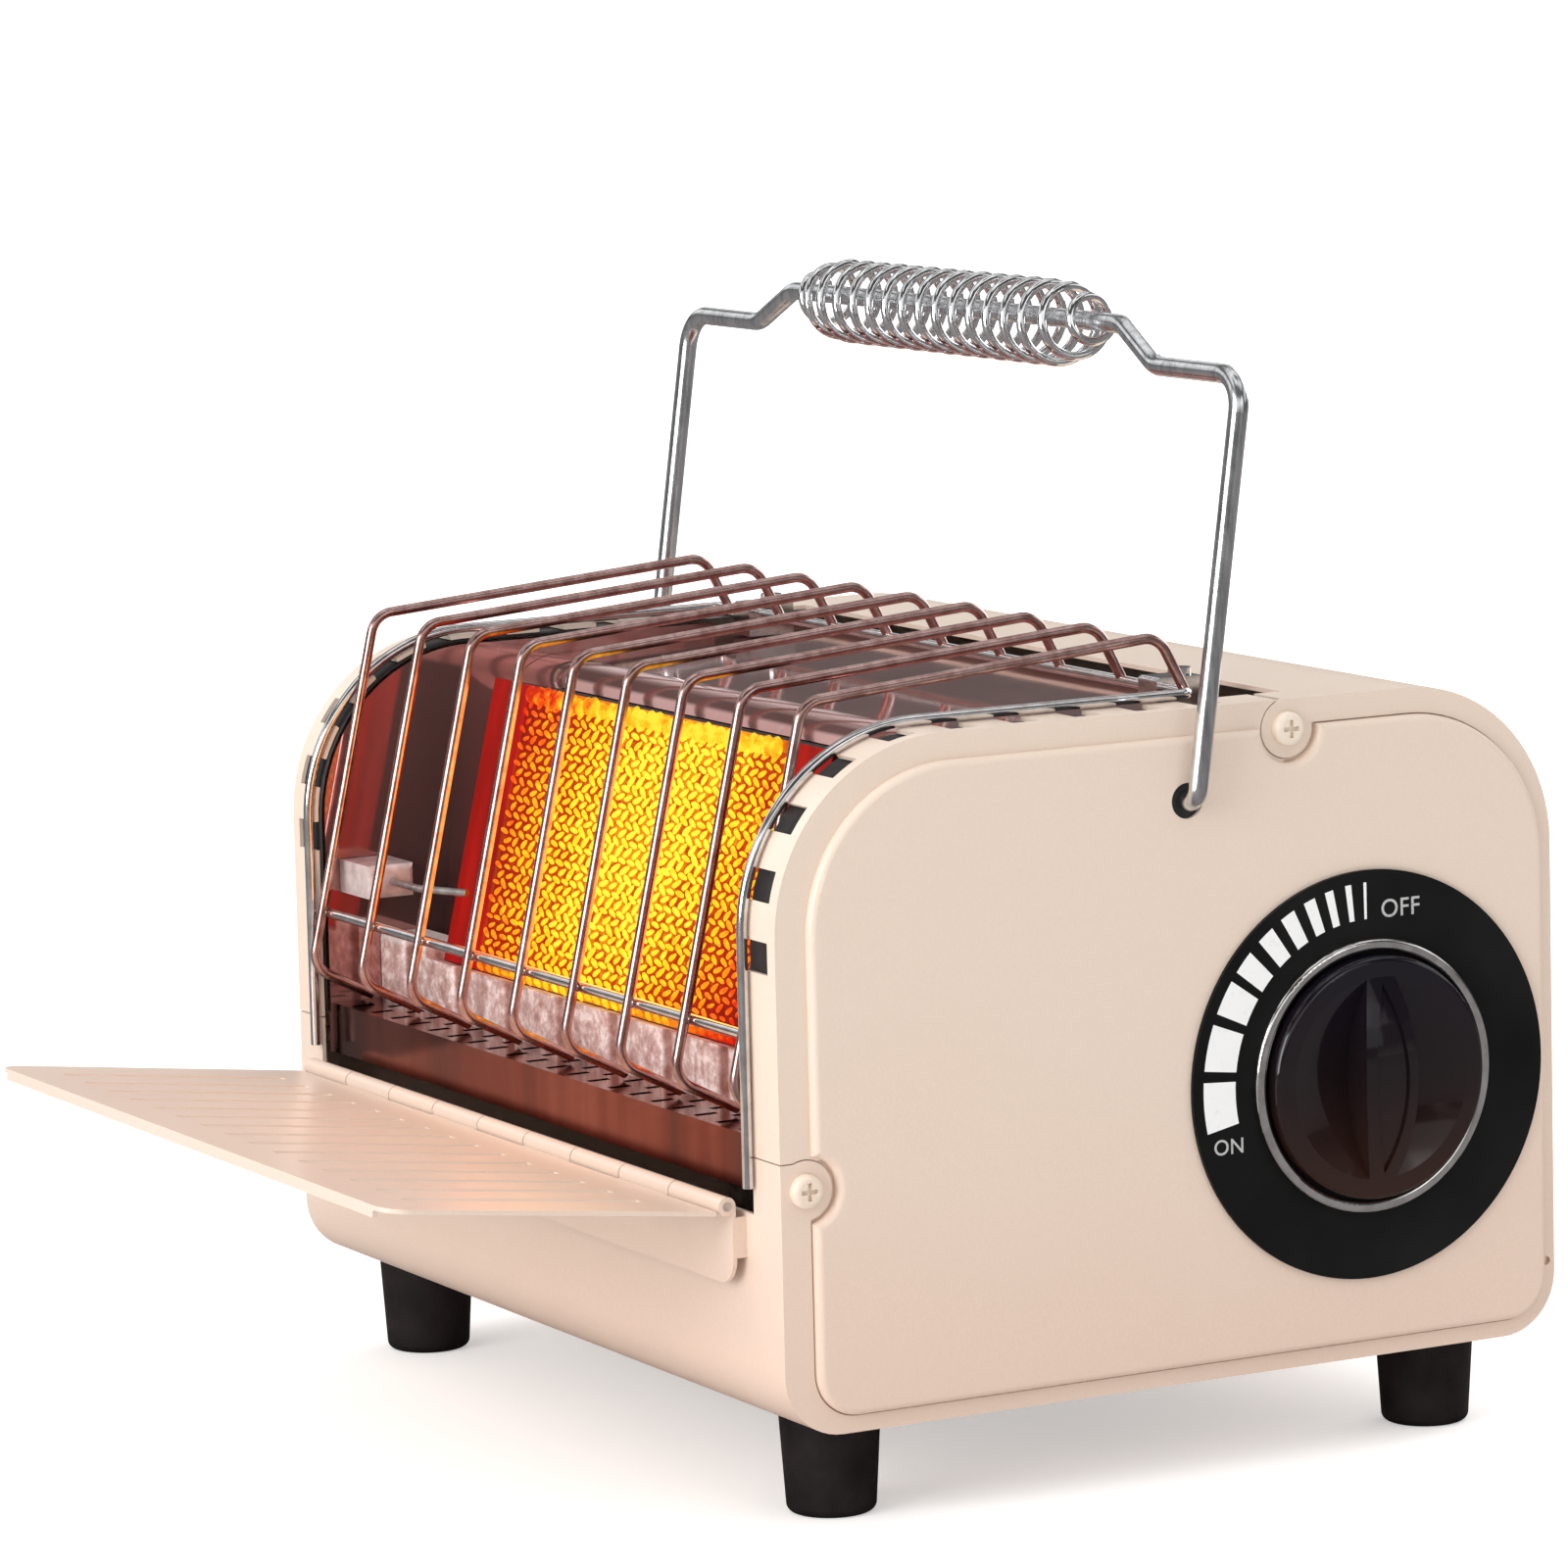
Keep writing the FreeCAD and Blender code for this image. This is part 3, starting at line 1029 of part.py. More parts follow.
def make_cradle():
    """Bent sheet that the canister lies in, on two feet."""
    r = BAY_R + FIT
    x0, x1 = BAY_LEFT_X + CRADLE_IN[0], BAY_RIGHT_X - CRADLE_IN[1]
    bore = rod_x(x0 - PAST, x1 + PAST, BAY_Y, BAY_Z, 2 * r)
    sheet = rod_x(x0, x1, BAY_Y, BAY_Z, 2 * (r + SHEET)).cut(bore)
    lip_z = BAY_Z - r * math.cos(math.radians(CRADLE_SPAN / 2))
    sheet = sheet.common(box(x0 - PAST, x1 + PAST, BAY_Y - BIG, BAY_Y + BIG, 0, lip_z))
    long, wide = CRADLE_FOOT
    feet = []
    for x in (x0 + CRADLE_FOOT_AT[0], x1 - CRADLE_FOOT_AT[1]):
        foot = box(x, x + long, BAY_Y - wide / 2, BAY_Y + wide / 2, FOOT_H + SHEET, BAY_Z - r - SHEET / 2)
        inside = wide / 2 - SHEET
        room = box(x - PAST, x + long + PAST, BAY_Y - inside, BAY_Y + inside, 0, BAY_Z - r - SHEET)
        feet.append(foot.cut(room).cut(bore))
    return fused([sheet] + feet)


def knuckle_spans():
    """Start, end and owner of each hinge knuckle: leaf, flap, leaf, and so on."""
    step = FLAP_W / KNUCKLES
    for i in range(KNUCKLES):
        x0 = -FLAP_W / 2 + i * step
        yield x0 + KNUCKLE_GAP / 2, x0 + step - KNUCKLE_GAP / 2, i % 2 == 1


def knuckle(x0, x1):
    return rod_x(x0, x1, PIN_Y, HINGE_Z, HINGE_KNUCKLE_D)


def pin_bore(radial):
    return rod_x(-BIG, BIG, PIN_Y, HINGE_Z, HINGE_PIN_D + 2 * radial)


def make_leaf():
    """Fixed hinge leaf: a skirt in front of the casing, with half of the knuckles on its top edge."""
    half = FLAP_W / 2
    y0 = PIN_Y + HINGE_KNUCKLE_D / 2 - SHEET
    top = HINGE_Z - HINGE_KNUCKLE_D / 2 - HINGE_GAP
    points = [vec(-half, y0, LEAF_LOW_Z), vec(half, y0, LEAF_LOW_Z), vec(half, y0, top), vec(-half, y0, top)]
    skirt = slab(points, [LEAF_CORNER_R, LEAF_CORNER_R, 0, 0], vec(0, SHEET, 0))
    pieces = [skirt]
    for x in (-half, half - SHEET):
        pieces.append(box(x, x + SHEET, y0, -BACK_Y, LEAF_LOW_Z + LEAF_CORNER_R, top))
    for x0, x1, on_flap in knuckle_spans():
        if not on_flap:
            pieces.append(knuckle(x0, x1))
            pieces.append(box(x0, x1, y0, y0 + SHEET, top - SHEET, HINGE_Z))
    return fused(pieces).cut(pin_bore(0))


def make_flap():
    """Slotted front flap, level at rest, that folds up in front of the guard."""
    tip = PIN_Y - FLAP_LEN
    low = HINGE_Z - HINGE_KNUCKLE_D / 2
    half = FLAP_W / 2
    root = PIN_Y - HINGE_KNUCKLE_D / 2 - HINGE_GAP
    points = [vec(-half, root, low), vec(half, root, low), vec(half, tip, low), vec(-half, tip, low)]
    panel = slab(points, [0, 0, FLAP_CORNER_R, FLAP_CORNER_R], vec(0, 0, SHEET))
    pieces = [panel]
    for x0, x1, on_flap in knuckle_spans():
        if on_flap:
            pieces.append(knuckle(x0, x1))
            pieces.append(box(x0, x1, root - SHEET, PIN_Y, low, low + SHEET))
    hem = box(-half + FLAP_CORNER_R, half - FLAP_CORNER_R, tip, tip + SHEET, low - FLAP_HEM + SHEET, low + SHEET)
    pieces.append(hem)
    flap = fused(pieces)
    step = (FLAP_W - 2 * FLAP_SLOT_MARGIN) / FLAP_SLOTS
    for i in range(FLAP_SLOTS):
        x = -FLAP_W / 2 + FLAP_SLOT_MARGIN + (i + 0.5) * step
        far = PIN_Y - FLAP_SLOT_START - FLAP_SLOT_L
        slot = box(x - FLAP_SLOT_W / 2, x + FLAP_SLOT_W / 2, far, far + FLAP_SLOT_L, low - PAST, low + 2 * SHEET)
        flap = flap.cut(slot)
    flap = flap.cut(pin_bore(HINGE_RUN))
    flap.rotate(vec(0, PIN_Y, HINGE_Z), vec(1, 0, 0), -FLAP_TILT)
    return flap


def make_flap_pin():
    return rod_x(-FLAP_W / 2, FLAP_W / 2, PIN_Y, HINGE_Z, HINGE_PIN_D)


def build():
    cap = make_end_cap()
    side = make_side_wall()
    parts["casing"] = make_casing()
    parts["end_cap_left"] = mirrored(cap)
    parts["end_cap_right"] = cap.cut(rod_x(0, BIG, KNOB_Y, KNOB_Z, SPINDLE_D + DIAL_HOLE))
    parts["canister_door"] = make_door()
    parts["door_pin"] = make_door_pin()
    parts["door_catch"] = make_door_catch()
    for name, x, y in (
        ("foot_front_left", -FOOT_X, -FOOT_Y), ("foot_front_right", FOOT_X, -FOOT_Y),
        ("foot_rear_left", -FOOT_X, FOOT_Y), ("foot_rear_right", FOOT_X, FOOT_Y),
    ):
        parts[name] = make_foot(x, y)
    parts["foot_screws"] = make_foot_screws()
    parts["end_screws"] = make_end_screws()
    parts["handle"] = make_handle()
    parts["handle_grip"] = make_grip()
    parts["handle_washers"] = make_washers()
    frame = make_guard_frame()
    parts["wire_guard"] = make_guard_wires(frame)
    parts["guard_frame"] = frame
    parts["guard_clips"] = make_clips()
    parts["burner_pan"] = make_pan()
    parts["reflector_hood"] = make_hood()
    parts["reflector_side_right"] = side
    parts["reflector_side_left"] = mirrored(side).cut(insulator_block(-BIG, FIT / 2))
    parts["heat_shield"] = make_divider()
    parts["burner_tile"] = make_burner_plate()
    parts["burner_housing"] = make_housing()
    parts["burner_support"] = make_support()
    parts["mixing_tube"] = make_mixing_tube()
    parts["injector"] = make_injector()
    parts["gas_pipe"] = make_pipe()
    parts["valve_body"] = make_valve()
    parts["valve_spindle"] = make_spindle()
    parts["canister_magnet"] = make_magnet()
    parts["canister_cradle"] = make_cradle()
    parts["igniter_block"] = make_piezo()
    parts["electrode_insulator"] = make_insulator()
    parts["electrode"] = make_electrode()
    parts["ignition_lead"] = make_lead()
    parts["dial_plate"] = make_dial()
    parts["dial_ring"] = make_ring()
    parts["knob"] = make_knob()
    parts["flap_leaf"] = make_leaf()
    parts["front_flap"] = make_flap()
    parts["flap_pin"] = make_flap_pin()


def export():
    os.makedirs("parts", exist_ok=True)
    boxes = [shape.optimalBoundingBox() for shape in parts.values()]
    middle_x = (min(b.XMin for b in boxes) + max(b.XMax for b in boxes)) / 2
    middle_y = (min(b.YMin for b in boxes) + max(b.YMax for b in boxes)) / 2
    for name, shape in parts.items():
        shape.translate(vec(-middle_x, -middle_y, 0))
        shape.exportStep(os.path.join("parts", name + ".step"))
        solids = shape.Solids
        good = shape.isValid() and all(s.Volume > 0 for s in solids)
        print(f"{name}: {len(solids)} solid(s), {shape.Volume:.0f} mm3, {'ok' if good else 'BAD'}")
    print("origin shift", round(-middle_x, 3), round(-middle_y, 3))


build()
export()
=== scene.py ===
"""Looks of a portable gas heater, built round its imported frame.

Metres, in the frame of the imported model. Places are given in millimetres from the middle of
the casing on the floor, with +X the knob end, -Y the burner side and +Z up.
"""
import bpy
import bmesh
import math
import random
from mathutils import Matrix, Vector


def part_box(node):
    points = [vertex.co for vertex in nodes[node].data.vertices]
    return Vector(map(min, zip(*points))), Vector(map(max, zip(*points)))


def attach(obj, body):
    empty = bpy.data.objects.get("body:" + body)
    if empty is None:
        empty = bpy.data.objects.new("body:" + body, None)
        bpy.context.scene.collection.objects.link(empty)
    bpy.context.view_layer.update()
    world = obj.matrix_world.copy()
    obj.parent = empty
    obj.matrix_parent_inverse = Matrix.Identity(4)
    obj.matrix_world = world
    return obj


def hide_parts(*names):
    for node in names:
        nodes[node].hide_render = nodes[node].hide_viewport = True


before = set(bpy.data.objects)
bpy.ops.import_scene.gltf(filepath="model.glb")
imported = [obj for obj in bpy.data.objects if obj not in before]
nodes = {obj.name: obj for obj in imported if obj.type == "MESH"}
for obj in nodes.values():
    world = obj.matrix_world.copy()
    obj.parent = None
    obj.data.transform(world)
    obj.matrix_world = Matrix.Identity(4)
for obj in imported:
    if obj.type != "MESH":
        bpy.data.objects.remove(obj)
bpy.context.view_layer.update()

MM = 0.001
case_low, case_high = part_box("casing")
MIDDLE = Vector(((case_low.x + case_high.x) / 2, (case_low.y + case_high.y) / 2, 0.0))

# Burner tile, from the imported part
TILE_W = 130.0
TILE_H = 63.0
TILE_T = 12.0
TILE_LEAN = math.radians(13.4)
TILE_FOOT = (0.0, -80.0, 101.5)
TILE_FACE_SET = 1.3      # the plaque's face lies this far behind the imported tile's
# the casting's top edge above this height gets a painted highlight
CASTING_HIGHLIGHT_Z = 99.4    # above it the casting's top edge turns pale
# Pleats of the casting, which place the red painted shade in its grooves
PLEAT_PITCH = 26.9
PLEAT_SHIFT = 20.5       # half a pleat, and enough whole ones to keep the count above zero

# Weave on the tile's glowing face
WEAVE_SEAT = 1.35
WEAVE_BELOW = 3.0        # how far it runs below the tile's foot
WEAVE_PITCH_X = 4.3
WEAVE_PITCH_Z = 2.05
DASH_LONG = 3.9
DASH_WIDE = 1.4
DASH_HIGH = 0.9
DASH_SLOPE = math.radians(36)

# Hottest place on the tile, and how far the heat reaches from it
HOT_ACROSS = 7.0
HOT_UP = 37.0
HOT_TILT = 0.30
HOT_HALF_W = 86.0
HOT_HALF_H = 66.0
COOLING_ACROSS = 2.2     # power by which the heat falls off sideways
COOLING_UP = 2.4         # and upwards

# Slotted strips of the casing's front and top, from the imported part
STRIP_INNER_X = 109.5
STRIP_OUTER_X = 121.2
FRONT_Y = -100.0
TOP_Z = 173.0
FRONT_TOP_R = 42.0
# Black sheet of painted shade behind the slots
SHADE_SHEET_SET = 1.25
SHADE_SHEET_T = 0.25
SHADE_SHEET_LOW_Z = 84.0
SHADE_SHEET_REAR_Y = 28.0

# Dial and knob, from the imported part
DIAL_Y = 48.6
DIAL_Z = 87.0
DIAL_FACE_X = 126.0
PRINT_T = 0.06
CAPITAL_SHARE = 0.69     # height of a capital in the size of its type
STROKE_SWELL = 0.02      # makes the strokes of the words bolder
BAR_INNER = 35.3
BAR_OUTER = 43.6
BARS = [(90.2, 91.2), (95.5, 97.6), (101.9, 104.8), (108.5, 112.5), (116.3, 121.4),
        (125.1, 131.0), (135.1, 142.3), (145.3, 155.8), (159.1, 173.0), (176.4, 191.8)]

# Carry grip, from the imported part
PIVOT_Y = 2.7
PIVOT_Z = 152.9
GRIP_Z = 255.4
GRIP_LEAN = math.radians(8.2)
GRIP_LEN = 134.0
GRIP_TURNS = 17
GRIP_WIRE_R = 1.1
GRIP_MID_R = 9.2
GRIP_SAG = 1.2
GRIP_SNUG_R = 3.6
GRIP_TAPER = 0.14
POINTS_PER_TURN = 16

LEAD_R = 1.5

# Photograph's camera
CAMERA_PLACE = (1465.9, -820.4, 376.0)
CAMERA_AZIMUTH = math.radians(28.32)
CAMERA_DROP = math.radians(7.87)
CAMERA_ROLL = math.radians(-1.43)
CAMERA_LENS = 165.83

chance = random.Random(7)


def spot(x, y, z):
    """A point given in millimetres from the casing's middle, on the floor."""
    return MIDDLE + Vector((x, y, z)) * MM


# Finishes

class Finish:
    """One procedural material: its node tree and the shader that it ends in."""

    def __init__(self, name, colour, metal, rough):
        self.material = bpy.data.materials.new(name)
        self.material.use_nodes = True
        self.tree = self.material.node_tree
        self.shader = self.tree.nodes["Principled BSDF"]
        self.set("Base Color", (*colour, 1.0))
        self.set("Metallic", metal)
        self.set("Roughness", rough)
        self.place = self.tree.nodes.new("ShaderNodeTexCoord").outputs["Object"]

    def set(self, socket, value):
        self.shader.inputs[socket].default_value = value

    def join(self, output, socket):
        self.tree.links.new(output, socket)

    def stretched(self, scale, turn=(0, 0, 0), move=(0, 0, 0), kind="POINT"):
        """Object coordinates, stretched or turned for a pattern."""
        mapping = self.tree.nodes.new("ShaderNodeMapping")
        mapping.vector_type = kind
        mapping.inputs["Scale"].default_value = scale
        mapping.inputs["Rotation"].default_value = turn
        mapping.inputs["Location"].default_value = move
        self.join(self.place, mapping.inputs["Vector"])
        return mapping.outputs["Vector"]

    def noise(self, scale, detail=3.0, rough=0.5, where=None, warp=0.0):
        node = self.tree.nodes.new("ShaderNodeTexNoise")
        node.inputs["Scale"].default_value = scale
        node.inputs["Detail"].default_value = detail
        node.inputs["Roughness"].default_value = rough
        node.inputs["Distortion"].default_value = warp
        self.join(where or self.place, node.inputs["Vector"])
        return node.outputs["Fac"]

    def ramp(self, source, stops):
        """Colours or levels along source. A stop is (place, colour) or (place, level)."""
        node = self.tree.nodes.new("ShaderNodeValToRGB")
        band = node.color_ramp
        while len(band.elements) < len(stops):
            band.elements.new(0.5)
        for element, (at, tone) in zip(band.elements, stops):
            element.position = at
            element.color = (*tone, 1.0) if isinstance(tone, tuple) else (tone, tone, tone, 1.0)
        self.join(source, node.inputs["Fac"])
        return node.outputs["Color"]

    def math(self, kind, a, b=None):
        node = self.tree.nodes.new("ShaderNodeMath")
        node.operation = kind
        for socket, value in zip(node.inputs, (a, b)):
            if value is None:
                continue
            if isinstance(value, (int, float)):
                socket.default_value = value
            else:
                self.join(value, socket)
        return node.outputs["Value"]

    def mix(self, share, first, second, kind="MIX"):
        node = self.tree.nodes.new("ShaderNodeMix")
        node.data_type = "RGBA"
        node.blend_type = kind
        for socket, value in ((node.inputs[0], share), (node.inputs[6], first), (node.inputs[7], second)):
            if isinstance(value, tuple):
                socket.default_value = (*value, 1.0)
            elif isinstance(value, (int, float)):
                socket.default_value = value
            else:
                self.join(value, socket)
        return node.outputs[2]

    def split(self, where):
        node = self.tree.nodes.new("ShaderNodeSeparateXYZ")
        self.join(where, node.inputs["Vector"])
        return node.outputs

    def colour(self, output):
        self.join(output, self.shader.inputs["Base Color"])

    def roughness(self, source, low, high):
        node = self.tree.nodes.new("ShaderNodeMapRange")
        node.inputs["To Min"].default_value = low
        node.inputs["To Max"].default_value = high
        self.join(source, node.inputs["Value"])
        self.join(node.outputs["Result"], self.shader.inputs["Roughness"])

    def bump(self, source, strength, depth_mm):
        node = self.tree.nodes.new("ShaderNodeBump")
        node.inputs["Strength"].default_value = strength
        node.inputs["Distance"].default_value = depth_mm * MM
        self.join(source, node.inputs["Height"])
        before = self.shader.inputs["Normal"]
        if before.is_linked:
            self.join(before.links[0].from_socket, node.inputs["Normal"])
        self.join(node.outputs["Normal"], before)

    def glow(self, colour, strength):
        """Light given off: colour and strength may be outputs."""
        for value, socket in ((colour, "Emission Color"), (strength, "Emission Strength")):
            if isinstance(value, tuple):
                self.set(socket, (*value, 1.0))
            elif isinstance(value, (int, float)):
                self.set(socket, value)
            else:
                self.join(value, self.shader.inputs[socket])

    def burner_place(self):
        """Millimetres in the leaning burner's own frame: across, behind its face, and up."""
        foot = spot(*TILE_FOOT)
        return self.split(self.stretched((MM, MM, MM), (-TILE_LEAN, 0, 0), foot, "TEXTURE"))


def enamel_finish(name, tone, patch_and_bounce, rough):
    """Satin enamel: faint warm patches, a warmer painted bounce light towards the bottom, orange-peel and a
    little uneven gloss.
    """
    paint = Finish(name, tone, 0.0, rough)
    patches = paint.noise(9.0, 2.0, 0.45)
    # painted warm bounce light: the warmer patch colour grows towards the bottom
    height = paint.math("MULTIPLY", paint.split(paint.place)[2], 5.5)
    share = paint.math("ADD", paint.math("MULTIPLY", patches, 0.7), paint.math("SUBTRACT", 0.55, height))
    tones = paint.ramp(share, [(0.25, tone), (0.85, patch_and_bounce)])
    specks = paint.ramp(paint.noise(1400.0, 2.0), [(0.3, 0.965), (0.7, 1.0)])
    paint.colour(paint.mix(1.0, tones, specks, "MULTIPLY"))
    paint.roughness(paint.noise(60.0, 4.0), rough - 0.06, rough + 0.08)
    paint.bump(paint.noise(420.0, 2.0), 0.12, 0.12)
    paint.set("Coat Weight", 0.18)
    paint.set("Coat Roughness", 0.22)
    paint.set("Specular IOR Level", 0.42)
    return paint.material


def metal_finish(name, tone, dull, rough, swing, grain, bump=0.1, draw=1.0):
    """Bright metal with uneven gloss and faint marks, drawn out along its height below a draw of 1."""
    metal = Finish(name, tone, 1.0, rough)
    marks = metal.noise(grain, 5.0, 0.6, metal.stretched((1.0, 1.0, draw)))
    metal.colour(metal.ramp(marks, [(0.32, dull), (0.62, tone)]))
    metal.roughness(metal.noise(grain * 0.45, 4.0), rough, rough + swing)
    metal.bump(marks, bump, 0.04)
    return metal.material


def reflector_finish(name, tone, stain):
    """Polished reflector steel, browned by heat, with soft waves and a few drops of stain."""
    metal = Finish(name, tone, 0.80, 0.08)
    waves = metal.noise(14.0, 2.0, 0.5)
    spots = metal.ramp(metal.noise(260.0, 2.0, 0.5), [(0.62, 0.0), (0.7, 1.0)])
    heat = metal.ramp(waves, [(0.3, stain), (0.7, tone)])
    metal.colour(metal.mix(metal.math("MULTIPLY", spots, 0.25), heat, (0.55, 0.42, 0.40)))
    metal.roughness(metal.noise(70.0, 3.0), 0.03, 0.11)
    metal.bump(waves, 0.25, 1.2)
    metal.bump(metal.noise(240.0, 3.0), 0.06, 0.08)
    return metal.material


def lip_finish():
    """Pan and its turned-down lip: heat-coloured copper brown with soft upright streaks, and painted shade
    darkening it towards both ends.
    """
    metal = Finish("pan_heat_coloured", (0.16, 0.06, 0.04), 1.0, 0.14)
    streaks = metal.noise(1.0, 3.0, 0.55, metal.stretched((55.0, 20.0, 6.0)))
    ends = metal.math("ABSOLUTE", metal.split(metal.place)[0])
    low, middle, high = (0.09, 0.022, 0.015), (0.22, 0.045, 0.024), (0.34, 0.10, 0.065)
    tones = metal.ramp(streaks, [(0.25, low), (0.5, middle), (0.75, high)])
    # painted shade: the pan turns near black towards both ends
    dark = metal.ramp(metal.math("MULTIPLY", ends, 8.0), [(0.72, 0.0), (0.86, 1.0)])
    metal.colour(metal.mix(dark, tones, (0.06, 0.035, 0.035)))
    metal.roughness(metal.noise(80.0, 3.0), 0.09, 0.24)
    metal.bump(streaks, 0.12, 0.4)
    return metal.material


def casting_finish():
    """Sand-cast face: mottled dull metal, with red painted shade in the grooves between its pleats and a
    painted highlight along its top edge.
    """
    metal = Finish("casting", (0.6, 0.5, 0.48), 0.15, 0.5)
    mottle = metal.noise(330.0, 5.0, 0.65)
    clouds = metal.noise(60.0, 3.0)
    low, middle, high = (0.36, 0.20, 0.18), (0.62, 0.44, 0.41), (0.95, 0.84, 0.82)
    tones = metal.ramp(mottle, [(0.34, low), (0.5, middle), (0.64, high)])
    tones = metal.mix(metal.math("MULTIPLY", clouds, 0.30), tones, (0.62, 0.36, 0.31))
    across, _, up = metal.split(metal.place)
    metres_from_middle = metal.math("SUBTRACT", across, MIDDLE.x)
    pleats = metal.math("MULTIPLY", metres_from_middle, 1 / (PLEAT_PITCH * MM))
    share = metal.math("FRACT", metal.math("ADD", pleats, PLEAT_SHIFT))
    pleat = metal.math("ABSOLUTE", metal.math("SUBTRACT", share, 0.5))
    # red painted shade in the grooves, halfway between the pleats
    groove_shade = metal.ramp(pleat, [(0.40, 0.0), (0.44, 1.0)])
    tones = metal.mix(metal.math("MULTIPLY", groove_shade, 0.75), tones, (0.42, 0.14, 0.09))
    # painted highlight: the casting turns pale above its top-edge height
    over = metal.math("MULTIPLY", metal.math("SUBTRACT", up, CASTING_HIGHLIGHT_Z * MM), 250.0)
    edge = metal.ramp(over, [(0.1, 0.0), (0.5, 0.7)])
    metal.colour(metal.mix(edge, tones, (0.98, 0.92, 0.90)))
    metal.roughness(mottle, 0.32, 0.62)
    metal.bump(mottle, 0.35, 0.35)
    metal.bump(metal.noise(110.0, 2.0), 0.2, 0.5)
    return metal.material


STRAND_HEAT = [
    (0.0, (0.62, 0.015, 0.0)), (0.25, (0.98, 0.12, 0.003)), (0.5, (1.0, 0.36, 0.006)),
    (0.78, (1.0, 0.62, 0.012)), (1.0, (1.0, 0.84, 0.045)),
]
GAP_HEAT = [
    (0.0, (0.20, 0.001, 0.0)), (0.4, (0.38, 0.008, 0.0)),
    (0.75, (0.55, 0.06, 0.001)), (1.0, (0.85, 0.30, 0.004)),
]


def heat_share(glow, blotch):
    """0 at the burner's cool edges to 1 in its hot middle, broken by blotches."""
    across, _, up = glow.burner_place()
    side = glow.math("DIVIDE", glow.math("SUBTRACT", across, HOT_ACROSS), HOT_HALF_W)
    height = glow.math("SUBTRACT", up, glow.math("MULTIPLY", across, HOT_TILT))
    rise = glow.math("DIVIDE", glow.math("SUBTRACT", height, HOT_UP), HOT_HALF_H)
    spread = glow.math("ADD", glow.math("POWER", glow.math("ABSOLUTE", side), COOLING_ACROSS),
                       glow.math("POWER", glow.math("ABSOLUTE", rise), COOLING_UP))
    base = glow.math("SUBTRACT", 1.0, spread)
    patches = glow.math("SUBTRACT", glow.noise(290.0, 4.0, 0.65), 0.5)
    return glow.math("ADD", base, glow.math("MULTIPLY", patches, blotch))


def glow_finish(name, stops, strength, lift, blotch):
    """Glowing ceramic: yellow in the middle, orange, then red at its edges."""
    glow = Finish(name, (0.06, 0.012, 0.006), 0.0, 0.9)
    glow.set("Specular IOR Level", 0.05)
    share = glow.math("ADD", heat_share(glow, blotch), lift)
    glow.glow(glow.ramp(share, stops), strength)
    glow.bump(glow.noise(900.0, 3.0), 0.3, 0.1)
    return glow.material


def rim_finish():
    """Burner box: plain dull steel behind, with a face that glows red beside the tile."""
    steel = Finish("burner_box", (0.016, 0.006, 0.005), 0.0, 0.5)
    steel.set("Specular IOR Level", 0.08)
    across, behind, _ = steel.burner_place()
    front = steel.ramp(steel.math("MULTIPLY", behind, 0.1), [(0.16, 1.0), (0.19, 0.0)])
    out = steel.math("DIVIDE", steel.math("ABSOLUTE", across), 100.0)
    near = steel.ramp(out, [(0.68, 1.0), (0.86, 0.62)])
    beside = steel.ramp(out, [(0.60, 0.0), (0.67, 1.0)])
    folds = steel.noise(1.0, 3.0, 0.5, steel.stretched((120.0, 60.0, 16.0)))
    low, middle, high = (0.30, 0.001, 0.0), (0.56, 0.004, 0.001), (0.95, 0.07, 0.004)
    red = steel.ramp(folds, [(0.35, low), (0.6, middle), (0.72, high)])
    edge = steel.ramp(heat_share(steel, 1.2), [(0.0, (0.6, 0.01, 0.0)), (0.8, (1.0, 0.30, 0.01))])
    steel.glow(steel.mix(beside, edge, red), steel.math("MULTIPLY", front, near))
    steel.roughness(steel.noise(90.0, 3.0), 0.35, 0.6)
    steel.bump(folds, 0.3, 0.6)
    return steel.material


def rubber_finish():
    """Matt black rubber with a fine grain."""
    rubber = Finish("foot_rubber", (0.013, 0.009, 0.009), 0.0, 0.62)
    grain = rubber.noise(900.0, 4.0, 0.7)
    low, high = (0.008, 0.006, 0.006), (0.020, 0.014, 0.014)
    rubber.colour(rubber.ramp(rubber.noise(120.0, 4.0), [(0.3, low), (0.7, high)]))
    rubber.roughness(grain, 0.45, 0.75)
    rubber.bump(grain, 0.4, 0.16)
    rubber.set("Specular IOR Level", 0.2)
    return rubber.material


def plastic_finish(name, tone, light, rough, grain, bump):
    """Plain dark surface, faintly clouded and grained."""
    plastic = Finish(name, tone, 0.0, rough)
    marks = plastic.noise(grain, 3.0, 0.6)
    plastic.colour(plastic.ramp(plastic.noise(30.0, 2.0), [(0.3, tone), (0.75, light)]))
    plastic.roughness(marks, rough, rough + 0.12)
    plastic.bump(marks, bump, 0.05)
    return plastic.material


def knob_finish():
    """Deep gloss moulded plastic, almost black, with painted light by height: browner low down and a bluish
    painted reflection high up.
    """
    plastic = Finish("knob_gloss", (0.010, 0.006, 0.006), 0.0, 0.07)
    # painted light by height: brown low down, a bluish painted reflection high up
    up = plastic.math("MULTIPLY", plastic.math("SUBTRACT", plastic.split(plastic.place)[2], 0.06), 18.0)
    low, middle, high = (0.030, 0.012, 0.008), (0.010, 0.006, 0.007), (0.006, 0.005, 0.010)
    plastic.colour(plastic.ramp(up, [(0.0, low), (0.5, middle), (1.0, high)]))
    plastic.roughness(plastic.noise(300.0, 4.0), 0.04, 0.09)
    plastic.bump(plastic.noise(90.0, 2.0), 0.05, 0.2)
    plastic.set("Specular IOR Level", 0.5)
    return plastic.material


